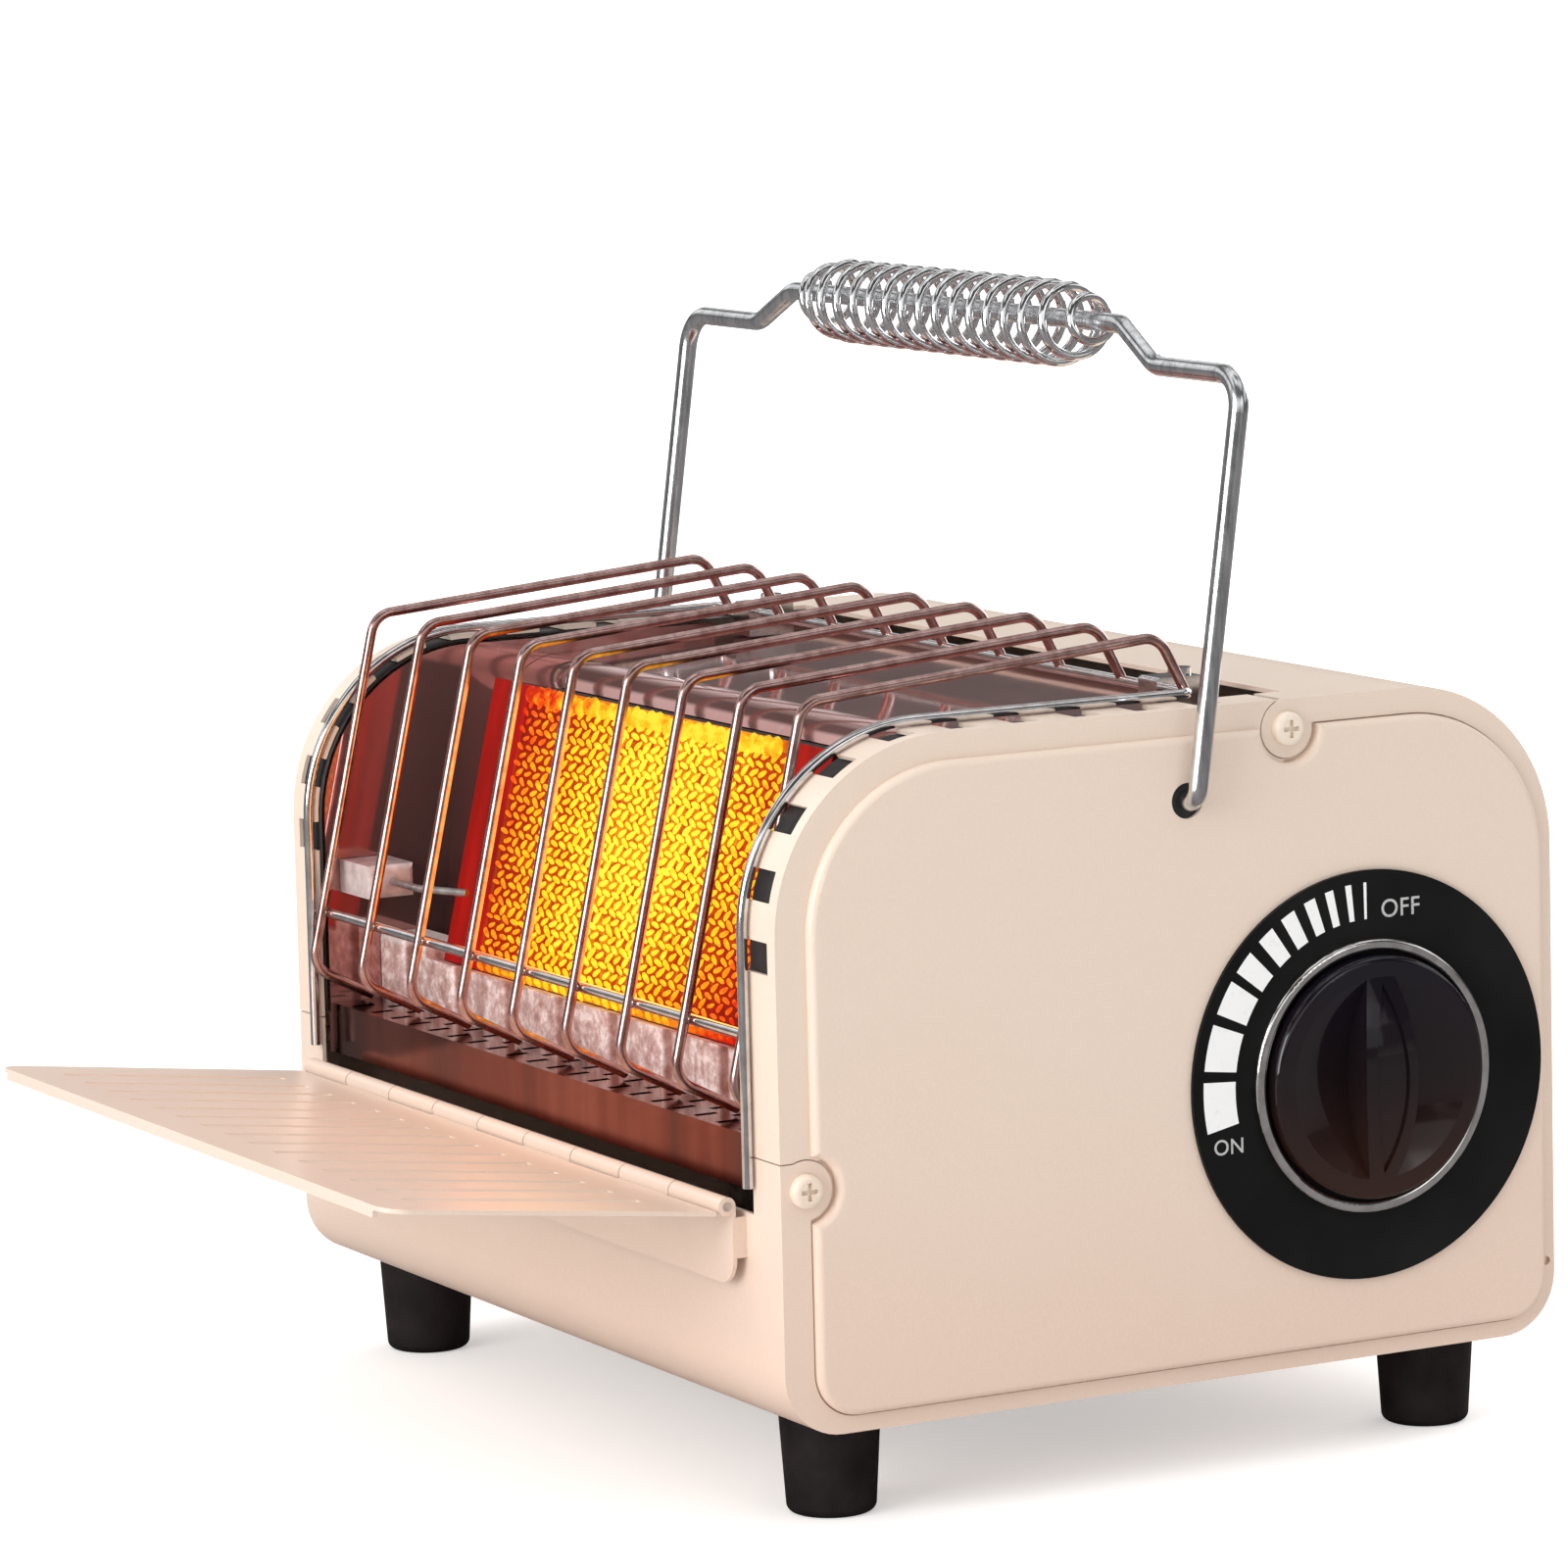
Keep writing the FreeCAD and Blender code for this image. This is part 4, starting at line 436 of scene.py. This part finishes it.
def dial_finish():
    """Satin printed plate, faintly uneven."""
    plate = Finish("dial_plate_black", (0.008, 0.008, 0.008), 0.0, 0.5)
    clouds = plate.noise(35.0, 3.0)
    plate.colour(plate.ramp(clouds, [(0.3, (0.006, 0.006, 0.006)), (0.75, (0.012, 0.012, 0.012))]))
    plate.roughness(plate.noise(700.0, 3.0), 0.38, 0.55)
    plate.bump(plate.noise(1600.0, 2.0), 0.15, 0.03)
    plate.set("Specular IOR Level", 0.13)
    return plate.material


def print_finish(name, tone, worn):
    """Printed ink, a little worn."""
    ink = Finish(name, tone, 0.0, 0.55)
    ink.colour(ink.ramp(ink.noise(500.0, 4.0, 0.7), [(0.28, worn), (0.42, tone)]))
    ink.roughness(ink.noise(300.0, 3.0), 0.45, 0.65)
    return ink.material


def brass_finish():
    """Turned brass, darker in patches."""
    brass = Finish("brass", (0.70, 0.48, 0.20), 1.0, 0.3)
    brass.colour(brass.ramp(brass.noise(90.0, 4.0), [(0.3, (0.48, 0.30, 0.13)), (0.7, (0.76, 0.56, 0.27))]))
    brass.roughness(brass.noise(180.0, 4.0), 0.22, 0.42)
    brass.bump(brass.noise(500.0, 3.0), 0.1, 0.05)
    return brass.material


def porcelain_finish():
    """Glazed porcelain, clouded by heat."""
    glaze = Finish("porcelain", (0.60, 0.50, 0.48), 0.0, 0.2)
    low, high = (0.42, 0.32, 0.31), (0.66, 0.56, 0.54)
    glaze.colour(glaze.ramp(glaze.noise(140.0, 4.0, 0.6), [(0.35, low), (0.6, high)]))
    glaze.bump(glaze.noise(350.0, 3.0), 0.15, 0.15)
    glaze.set("Coat Weight", 0.5)
    glaze.set("Coat Roughness", 0.1)
    return glaze.material


def lead_finish():
    """Red silicone cover of the spark lead."""
    cover = Finish("lead_silicone", (0.30, 0.03, 0.02), 0.0, 0.5)
    cover.colour(cover.ramp(cover.noise(200.0, 3.0), [(0.3, (0.22, 0.02, 0.015)), (0.7, (0.38, 0.05, 0.03))]))
    cover.bump(cover.noise(900.0, 3.0), 0.2, 0.06)
    return cover.material


cream = enamel_finish("cream_enamel", (0.800, 0.655, 0.545), (0.800, 0.610, 0.500), 0.36)
flap_cream = enamel_finish("flap_enamel", (0.770, 0.640, 0.545), (0.780, 0.620, 0.510), 0.34)
screw_cream = enamel_finish("screw_enamel", (0.86, 0.74, 0.62), (0.80, 0.62, 0.48), 0.26)
wire_chrome = metal_finish("guard_wire", (0.62, 0.42, 0.39), (0.38, 0.21, 0.19), 0.17, 0.14, 260.0, 0.05)
frame_chrome = metal_finish("guard_frame_steel", (0.80, 0.79, 0.79), (0.60, 0.58, 0.57),
                            0.08, 0.12, 260.0, 0.05)
rod_chrome = metal_finish("handle_rod", (0.80, 0.81, 0.82), (0.50, 0.51, 0.53), 0.12, 0.2, 620.0, 0.2, 0.12)
grip_chrome = metal_finish("grip_wire", (0.90, 0.90, 0.91), (0.68, 0.68, 0.69), 0.05, 0.08, 260.0, 0.05)
collar_chrome = metal_finish("dial_collar", (0.88, 0.87, 0.86), (0.62, 0.60, 0.58), 0.07, 0.1, 200.0)
plain_steel = metal_finish("plain_steel", (0.58, 0.57, 0.56), (0.34, 0.32, 0.31), 0.28, 0.2, 400.0, 0.2)
reflector = reflector_finish("reflector", (0.56, 0.30, 0.275), (0.40, 0.175, 0.155))
lip_steel = lip_finish()
casting = casting_finish()
burner_box = rim_finish()
plaque_glow = glow_finish("plaque_glow", GAP_HEAT, 1.0, -0.05, 1.6)
weave_glow = glow_finish("weave_glow", STRAND_HEAT, 1.25, 0.02, 1.1)
edging_glow = glow_finish("edging_glow", STRAND_HEAT, 1.0, 0.05, 2.2)
rubber = rubber_finish()
black_plastic = plastic_finish("black_plastic", (0.02, 0.02, 0.02), (0.035, 0.035, 0.035), 0.4, 600.0, 0.2)
# black of the sheet of painted shade behind the end caps' slots
slot_shade_black = plastic_finish("slot_shade_sheet", (0.012, 0.010, 0.010), (0.022, 0.018, 0.018), 0.5, 500.0, 0.2)
knob_gloss = knob_finish()
dial_black = dial_finish()
bar_white = print_finish("dial_white", (0.90, 0.90, 0.90), (0.80, 0.80, 0.80))
word_grey = print_finish("dial_grey", (0.50, 0.50, 0.50), (0.24, 0.24, 0.24))
brass = brass_finish()
porcelain = porcelain_finish()
lead_silicone = lead_finish()

FINISHES = {
    "casing": cream, "end_cap_left": cream, "end_cap_right": cream, "canister_door": cream,
    "flap_leaf": cream, "front_flap": flap_cream, "end_screws": screw_cream,
    "door_pin": plain_steel, "flap_pin": plain_steel, "foot_screws": plain_steel,
    "handle_washers": black_plastic, "guard_clips": frame_chrome, "heat_shield": plain_steel,
    "mixing_tube": plain_steel, "valve_spindle": plain_steel, "canister_magnet": plain_steel,
    "canister_cradle": plain_steel, "electrode": plain_steel,
    "handle": rod_chrome, "handle_grip": grip_chrome, "wire_guard": wire_chrome,
    "guard_frame": frame_chrome, "dial_ring": collar_chrome,
    "reflector_hood": reflector, "reflector_side_left": reflector, "reflector_side_right": reflector,
    "burner_pan": lip_steel, "burner_support": casting, "burner_housing": burner_box,
    "burner_tile": plaque_glow, "injector": brass, "gas_pipe": brass, "valve_body": brass,
    "igniter_block": black_plastic, "door_catch": black_plastic,
    "electrode_insulator": porcelain, "ignition_lead": lead_silicone,
    "dial_plate": dial_black, "knob": knob_gloss,
    "foot_front_left": rubber, "foot_front_right": rubber,
    "foot_rear_left": rubber, "foot_rear_right": rubber,
}
for name, material in FINISHES.items():
    for material_slot in nodes[name].material_slots:
        material_slot.material = material


# New pieces

def piece_from(shape, name, material, body, smooth=True):
    """The bmesh as a piece that rides on a body."""
    mesh = bpy.data.meshes.new(name)
    shape.to_mesh(mesh)
    shape.free()
    for face in mesh.polygons:
        face.use_smooth = smooth
    piece = bpy.data.objects.new(name, mesh)
    bpy.context.scene.collection.objects.link(piece)
    piece.data.materials.append(material)
    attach(piece, body)
    return piece


def burner_matrix(across, behind, up):
    """From millimetres in the leaning burner's frame to metres."""
    lean = Matrix.Rotation(-TILE_LEAN, 4, "X")
    return Matrix.Translation(spot(*TILE_FOOT)) @ lean @ Matrix.Translation(Vector((across, behind, up)) * MM)


def make_plaque():
    """Ceramic plaque behind the weave, with rounded edges."""
    shape = bmesh.new()
    size = Matrix.Diagonal((TILE_W * MM, (TILE_T - TILE_FACE_SET) * MM, TILE_H * MM, 1.0))
    middle = burner_matrix(0, (TILE_T + TILE_FACE_SET) / 2, TILE_H / 2)
    bmesh.ops.create_cube(shape, size=1.0, matrix=middle @ size)
    bmesh.ops.bevel(shape, geom=shape.edges[:], offset=0.7 * MM, segments=2, profile=0.5,
                    affect="EDGES", material=-1)
    plaque = piece_from(shape, "glow_plaque", plaque_glow, "body", smooth=False)
    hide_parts("burner_tile")


def strand_mesh():
    """One strand of the weave where it shows: a small pillow, long across and high in its middle."""
    shape = bmesh.new()
    size = Matrix.Diagonal((DASH_LONG / 2 * MM, DASH_HIGH * MM, DASH_WIDE / 2 * MM, 1.0))
    bmesh.ops.create_uvsphere(shape, u_segments=7, v_segments=5, radius=1.0,
                              matrix=size @ Matrix.Rotation(math.pi / 2, 4, "Y"))
    mesh = bpy.data.meshes.new("strand")
    shape.to_mesh(mesh)
    shape.free()
    return mesh


def make_weave():
    """Rows of slanting strands, staggered row by row, over the plaque's face; fullest where it is hottest."""
    shape = bmesh.new()
    strand = strand_mesh()
    rows = int((TILE_H + WEAVE_BELOW) / WEAVE_PITCH_Z)
    columns = int(TILE_W / WEAVE_PITCH_X)
    for row in range(rows):
        up = (row + 0.5) * WEAVE_PITCH_Z - WEAVE_BELOW
        shift = 0.25 if row % 2 else -0.25
        for column in range(columns):
            across = (column - (columns - 1) / 2 + shift + chance.uniform(-0.06, 0.06)) * TILE_W / columns
            side = abs(across - HOT_ACROSS) / HOT_HALF_W
            rise = abs(up - HOT_UP - HOT_TILT * across) / HOT_HALF_H
            heat = max(0.0, 1 - side ** COOLING_ACROSS - rise ** COOLING_UP)
            slope = DASH_SLOPE * (1 if row % 2 else -0.7) + chance.uniform(-0.3, 0.3)
            full = (0.74 + 0.32 * heat) * chance.uniform(0.85, 1.1)
            size = Matrix.Diagonal((full, 1.0, full, 1.0))
            place = burner_matrix(across, WEAVE_SEAT + chance.uniform(-0.08, 0.08), up)
            copy = strand.copy()
            copy.transform(place @ Matrix.Rotation(-slope, 4, "Y") @ size)
            shape.from_mesh(copy)
            bpy.data.meshes.remove(copy)
    bpy.data.meshes.remove(strand)
    piece_from(shape, "glow_weave", weave_glow, "body")


def make_edging():
    """Ragged beads of cement that hold the plaque along its top edge."""
    shape = bmesh.new()
    across = -TILE_W / 2 + 2.5
    while across < TILE_W / 2 - 2:
        wide = chance.uniform(3.4, 6.2)
        place = burner_matrix(across, 0.9, TILE_H + chance.uniform(0.4, 1.1))
        size = Matrix.Diagonal((wide / 2 * MM, 1.0 * MM, chance.uniform(2.0, 2.7) * MM, 1.0))
        bmesh.ops.create_icosphere(shape, subdivisions=2, radius=1.0, matrix=place @ size)
        across += wide * 0.8
    piece_from(shape, "plaque_edging", edging_glow, "body")


def make_slot_shade_sheet(side):
    """Black sheet of painted shade close behind the slots of one end cap, from the front over the bend to the
    top.
    """
    shape = bmesh.new()
    front = FRONT_Y + SHADE_SHEET_SET
    bend_z = TOP_Z - FRONT_TOP_R
    ends = [shape.verts.new(spot(side * x, front, SHADE_SHEET_LOW_Z)) for x in (STRIP_INNER_X, STRIP_OUTER_X)]
    edge = shape.edges.new(ends)
    raised = bmesh.ops.extrude_edge_only(shape, edges=[edge])["geom"]
    ends = [v for v in raised if isinstance(v, bmesh.types.BMVert)]
    bmesh.ops.translate(shape, verts=ends, vec=Vector((0, 0, bend_z - SHADE_SHEET_LOW_Z)) * MM)
    edge = [e for e in raised if isinstance(e, bmesh.types.BMEdge)]
    bend = bmesh.ops.spin(shape, geom=ends + edge, cent=spot(0, FRONT_Y + FRONT_TOP_R, bend_z),
                          axis=(1, 0, 0), angle=-math.pi / 2, steps=12)["geom_last"]
    edge = [e for e in bend if isinstance(e, bmesh.types.BMEdge)]
    flat = bmesh.ops.extrude_edge_only(shape, edges=edge)["geom"]
    ends = [v for v in flat if isinstance(v, bmesh.types.BMVert)]
    run = SHADE_SHEET_REAR_Y - FRONT_Y - FRONT_TOP_R
    bmesh.ops.translate(shape, verts=ends, vec=Vector((0, run, 0)) * MM)
    bmesh.ops.remove_doubles(shape, verts=shape.verts[:], dist=0.01 * MM)
    bmesh.ops.recalc_face_normals(shape, faces=shape.faces[:])
    bmesh.ops.solidify(shape, geom=shape.faces[:], thickness=SHADE_SHEET_T * MM)
    bmesh.ops.recalc_face_normals(shape, faces=shape.faces[:])
    name = "slot_shade_sheet_right" if side > 0 else "slot_shade_sheet_left"
    piece_from(shape, name, slot_shade_black, "body")


def dial_point(radius, degrees, lift):
    """A point on the dial's face, counted anticlockwise from the rear as the dial is read."""
    turn = math.radians(degrees)
    return spot(DIAL_FACE_X + lift, DIAL_Y + radius * math.cos(turn), DIAL_Z + radius * math.sin(turn))


def make_bars():
    """White heat marks: each is a short arc swept round the dial's centre, with a little thickness."""
    shape = bmesh.new()
    for first, last in BARS:
        ends = [shape.verts.new(dial_point(r, first, PRINT_T / 2)) for r in (BAR_INNER, BAR_OUTER)]
        edge = shape.edges.new(ends)
        steps = max(1, round((last - first) / 2))
        bmesh.ops.spin(shape, geom=ends + [edge], cent=spot(0, DIAL_Y, DIAL_Z), axis=(1, 0, 0),
                       angle=math.radians(last - first), steps=steps)
    bmesh.ops.recalc_face_normals(shape, faces=shape.faces[:])
    bmesh.ops.solidify(shape, geom=shape.faces[:], thickness=PRINT_T * MM)
    bmesh.ops.recalc_face_normals(shape, faces=shape.faces[:])
    piece_from(shape, "dial_bars", bar_white, "body", smooth=False)


def make_word(text, y, z, height):
    """ON or OFF printed on the dial, read from the knob end."""
    curve = bpy.data.curves.new("word", "FONT")
    curve.body = text
    curve.size = height / CAPITAL_SHARE * MM
    curve.align_x = "CENTER"
    curve.align_y = "CENTER"
    curve.extrude = PRINT_T / 2 * MM
    curve.offset = STROKE_SWELL * MM
    curve.space_character = 1.05
    holder = bpy.data.objects.new("word", curve)
    bpy.context.scene.collection.objects.link(holder)
    bpy.context.view_layer.update()
    mesh = bpy.data.meshes.new_from_object(holder.evaluated_get(bpy.context.evaluated_depsgraph_get()))
    bpy.data.objects.remove(holder)
    upright = Matrix(((0, 0, 1, 0), (1, 0, 0, 0), (0, 1, 0, 0), (0, 0, 0, 1)))
    mesh.transform(Matrix.Translation(spot(DIAL_FACE_X + PRINT_T / 2, DIAL_Y + y, DIAL_Z + z)) @ upright)
    piece = bpy.data.objects.new("dial_word_" + text.lower(), mesh)
    bpy.context.scene.collection.objects.link(piece)
    piece.data.materials.clear()
    piece.data.materials.append(word_grey)
    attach(piece, "body")


def tube_along(points, radius, name, order, material, body):
    """A round tube on a smooth NURBS line through space, as a mesh."""
    curve = bpy.data.curves.new(name, "CURVE")
    curve.dimensions = "3D"
    spline = curve.splines.new("NURBS")
    spline.points.add(len(points) - 1)
    for point, place in zip(spline.points, points):
        point.co = (*place, 1.0)
    spline.order_u = order
    spline.use_endpoint_u = True
    curve.resolution_u = 2
    curve.bevel_depth = radius
    curve.bevel_resolution = 3
    curve.use_fill_caps = True
    holder = bpy.data.objects.new("line", curve)
    bpy.context.scene.collection.objects.link(holder)
    bpy.context.view_layer.update()
    mesh = bpy.data.meshes.new_from_object(holder.evaluated_get(bpy.context.evaluated_depsgraph_get()))
    bpy.data.objects.remove(holder)
    mesh.materials.clear()
    mesh.materials.append(material)
    for face in mesh.polygons:
        face.use_smooth = True
    piece = bpy.data.objects.new(name, mesh)
    bpy.context.scene.collection.objects.link(piece)
    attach(piece, body)
    return piece


def make_grip():
    """Carry grip: one wire wound over the rod, snug at its ends and full in the middle."""
    count = GRIP_TURNS * POINTS_PER_TURN
    lean = Matrix.Rotation(-GRIP_LEAN, 4, "X")
    pivot = Vector((0, PIVOT_Y, PIVOT_Z))
    points = []
    for i in range(count + 1):
        share = i / count
        swell = min(1.0, share / GRIP_TAPER, (1 - share) / GRIP_TAPER)
        radius = GRIP_SNUG_R + (GRIP_MID_R - GRIP_SNUG_R) * math.sin(swell * math.pi / 2)
        turn = 2 * math.pi * GRIP_TURNS * share
        x = GRIP_LEN * (share - 0.5)
        height = GRIP_Z - GRIP_SAG * math.sin(swell * math.pi / 2)
        wound = Vector((x, PIVOT_Y + radius * math.cos(turn), height + radius * math.sin(turn)))
        points.append(spot(*(lean @ (wound - pivot) + pivot)))
    grip = tube_along(points, GRIP_WIRE_R * MM, "grip_coil", 3, grip_chrome, "handle")
    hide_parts("handle_grip")


def make_lead():
    """Spark lead from the igniter block, over the canister bay, down to the insulator."""
    route = [
        (85.0, 71.6, 112.0), (85.0, 71.6, 130.0), (70.0, 71.6, 136.0), (0.0, 71.6, 136.0),
        (-100.0, 71.6, 136.0), (-116.3, 66.0, 136.0), (-116.3, 0.0, 131.0),
        (-116.3, -80.0, 126.5), (-116.3, -88.0, 124.0), (-116.3, -88.0, 117.0), (-112.7, -88.0, 117.0),
    ]
    points = [spot(*place) for place in route]
    lead = tube_along(points, LEAD_R * MM, "spark_lead", 3, lead_silicone, "body")
    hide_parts("ignition_lead")


make_plaque()
make_weave()
make_edging()
make_slot_shade_sheet(1)
make_slot_shade_sheet(-1)
make_bars()
make_word("OFF", 8.8, 37.0, 4.0)
make_word("ON", -37.2, -12.4, 3.4)
make_grip()
make_lead()


# Floor, light and camera

FLOOR_HALF = 30.0
FLOOR_FADE = (0.15, 0.9, 0.42, 0.8)     # near and far edges in metres, and the light added at each


def make_floor():
    """Pale floor that runs back past the camera's view and keeps the heater's shadow."""
    shape = bmesh.new()
    bmesh.ops.create_grid(shape, x_segments=1, y_segments=1, size=FLOOR_HALF)
    mesh = bpy.data.meshes.new("floor")
    shape.to_mesh(mesh)
    shape.free()
    floor = bpy.data.objects.new("floor", mesh)
    bpy.context.scene.collection.objects.link(floor)
    paper = bpy.data.materials.new("floor_paper")
    paper.use_nodes = True
    tree = paper.node_tree
    shader = tree.nodes["Principled BSDF"]
    shader.inputs["Roughness"].default_value = 0.9
    shader.inputs["Specular IOR Level"].default_value = 0.0
    path = tree.nodes.new("ShaderNodeLightPath")
    place = tree.nodes.new("ShaderNodeTexCoord").outputs["Object"]
    away = tree.nodes.new("ShaderNodeVectorMath")
    away.operation = "LENGTH"
    tree.links.new(place, away.inputs[0])
    fade = tree.nodes.new("ShaderNodeMapRange")
    for socket, value in zip(("From Min", "From Max", "To Min", "To Max"), FLOOR_FADE):
        fade.inputs[socket].default_value = value
    tree.links.new(away.outputs["Value"], fade.inputs["Value"])
    lift = tree.nodes.new("ShaderNodeMath")
    lift.operation = "MULTIPLY"
    tree.links.new(fade.outputs["Result"], lift.inputs[0])
    tree.links.new(path.outputs["Is Camera Ray"], lift.inputs[1])
    shade = tree.nodes.new("ShaderNodeMix")
    shade.data_type = "RGBA"
    shade.inputs[6].default_value = (0.80, 0.79, 0.78, 1.0)
    shade.inputs[7].default_value = (0.20, 0.19, 0.19, 1.0)
    tree.links.new(path.outputs["Is Glossy Ray"], shade.inputs[0])
    tree.links.new(shade.outputs[2], shader.inputs["Base Color"])
    shader.inputs["Emission Color"].default_value = (1.0, 1.0, 1.0, 1.0)
    tree.links.new(lift.outputs[0], shader.inputs["Emission Strength"])
    mesh.materials.append(paper)


# What bright metal mirrors: grey level at each height, from the horizon to overhead
SKY_BANDS = [
    (0.0, 0.35), (0.08, 0.10), (0.2, 0.12), (0.26, 1.1),
    (0.52, 1.2), (0.58, 0.08), (0.70, 0.10), (0.76, 1.2),
]


def sky_ramp(tree, source, stops):
    """Grey levels by a ramp over source."""
    node = tree.nodes.new("ShaderNodeValToRGB")
    band = node.color_ramp
    while len(band.elements) < len(stops):
        band.elements.new(0.5)
    for element, (at, level) in zip(band.elements, stops):
        element.position = at
        element.color = (level, level, level, 1.0)
    tree.links.new(source, node.inputs["Fac"])
    return node.outputs["Color"]


def make_world():
    """Even studio light: soft white to the eye and in bright metal, with a few darker flags."""
    world = bpy.data.worlds.new("studio")
    bpy.context.scene.world = world
    world.use_nodes = True
    tree = world.node_tree
    tree.nodes.clear()
    out = tree.nodes.new("ShaderNodeOutputWorld")
    place = tree.nodes.new("ShaderNodeTexCoord").outputs["Generated"]
    height = tree.nodes.new("ShaderNodeSeparateXYZ")
    tree.links.new(place, height.inputs["Vector"])
    flag_noise = tree.nodes.new("ShaderNodeTexNoise")
    flag_noise.inputs["Scale"].default_value = 2.1
    flag_noise.inputs["Detail"].default_value = 1.0
    tree.links.new(place, flag_noise.inputs["Vector"])
    flags = sky_ramp(tree, flag_noise.outputs["Fac"], [(0.43, 0.06), (0.52, 1.0)])
    bands = sky_ramp(tree, height.outputs["Z"], SKY_BANDS)
    both = tree.nodes.new("ShaderNodeMix")
    both.data_type = "RGBA"
    both.blend_type = "DARKEN"
    both.inputs[0].default_value = 1.0
    tree.links.new(flags, both.inputs[6])
    tree.links.new(bands, both.inputs[7])
    overhead = sky_ramp(tree, height.outputs["Z"], [(0.0, 0.42), (0.45, 0.56), (0.9, 1.5)])
    path = tree.nodes.new("ShaderNodeLightPath")
    soft = tree.nodes.new("ShaderNodeBackground")
    tree.links.new(overhead, soft.inputs["Color"])
    soft.inputs["Strength"].default_value = 1.0
    seen = tree.nodes.new("ShaderNodeBackground")
    seen.inputs["Color"].default_value = (1.0, 1.0, 1.0, 1.0)
    seen.inputs["Strength"].default_value = 1.0
    mirrored = tree.nodes.new("ShaderNodeBackground")
    tree.links.new(both.outputs[2], mirrored.inputs["Color"])
    mirrored.inputs["Strength"].default_value = 1.0
    by_gloss = tree.nodes.new("ShaderNodeMixShader")
    by_eye = tree.nodes.new("ShaderNodeMixShader")
    tree.links.new(path.outputs["Is Glossy Ray"], by_gloss.inputs[0])
    tree.links.new(soft.outputs[0], by_gloss.inputs[1])
    tree.links.new(mirrored.outputs[0], by_gloss.inputs[2])
    tree.links.new(path.outputs["Is Camera Ray"], by_eye.inputs[0])
    tree.links.new(by_gloss.outputs[0], by_eye.inputs[1])
    tree.links.new(seen.outputs[0], by_eye.inputs[2])
    tree.links.new(by_eye.outputs[0], out.inputs["Surface"])


def add_lamp(name, start, target, size, watts, tone=(1.0, 1.0, 1.0)):
    """A rectangular lamp at start that faces target."""
    lamp = bpy.data.lights.new(name, "AREA")
    lamp.shape = "RECTANGLE"
    lamp.size, lamp.size_y = size
    lamp.energy = watts
    lamp.color = tone
    holder = bpy.data.objects.new(name, lamp)
    aim = (target - start).to_track_quat("-Z", "Y").to_matrix().to_4x4()
    holder.matrix_world = Matrix.Translation(start) @ aim
    bpy.context.scene.collection.objects.link(holder)


def make_lights():
    """Three soft boxes, and the warm light that the tile throws on what stands before it."""
    middle = spot(0, 0, 90)
    add_lamp("key_softbox", spot(460, -1750, 620), middle, (1.2, 1.0), 22.0)
    add_lamp("rear_softbox", spot(-700, 1700, 800), middle, (1.2, 1.0), 12.0)
    add_lamp("fill_softbox", spot(1700, 500, 700), middle, (0.8, 1.0), 1.0)
    face = burner_matrix(0, -6, TILE_H / 2).translation
    ahead = burner_matrix(0, -60, TILE_H / 2).translation
    add_lamp("burner_glow", face, ahead, (TILE_W * MM, TILE_H * MM), 0.07, (1.0, 0.32, 0.10))


def make_camera():
    """The photograph's viewpoint, a little rolled."""
    ahead = Vector((-math.cos(CAMERA_AZIMUTH) * math.cos(CAMERA_DROP),
                    math.sin(CAMERA_AZIMUTH) * math.cos(CAMERA_DROP), -math.sin(CAMERA_DROP)))
    level = ahead.cross(Vector((0, 0, 1))).normalized()
    upright = level.cross(ahead)
    right = level * math.cos(CAMERA_ROLL) + upright * math.sin(CAMERA_ROLL)
    top = upright * math.cos(CAMERA_ROLL) - level * math.sin(CAMERA_ROLL)
    turn = Matrix((right, top, -ahead)).transposed().to_4x4()
    camera = bpy.data.cameras.new("photo_camera")
    camera.lens = CAMERA_LENS
    camera.sensor_width = 36.0
    camera.clip_end = 100.0
    holder = bpy.data.objects.new("photo_camera", camera)
    holder.matrix_world = Matrix.Translation(spot(*CAMERA_PLACE)) @ turn
    bpy.context.scene.collection.objects.link(holder)
    bpy.context.scene.camera = holder


make_floor()
make_world()
make_lights()
make_camera()
bpy.context.scene.view_settings.view_transform = "Standard"
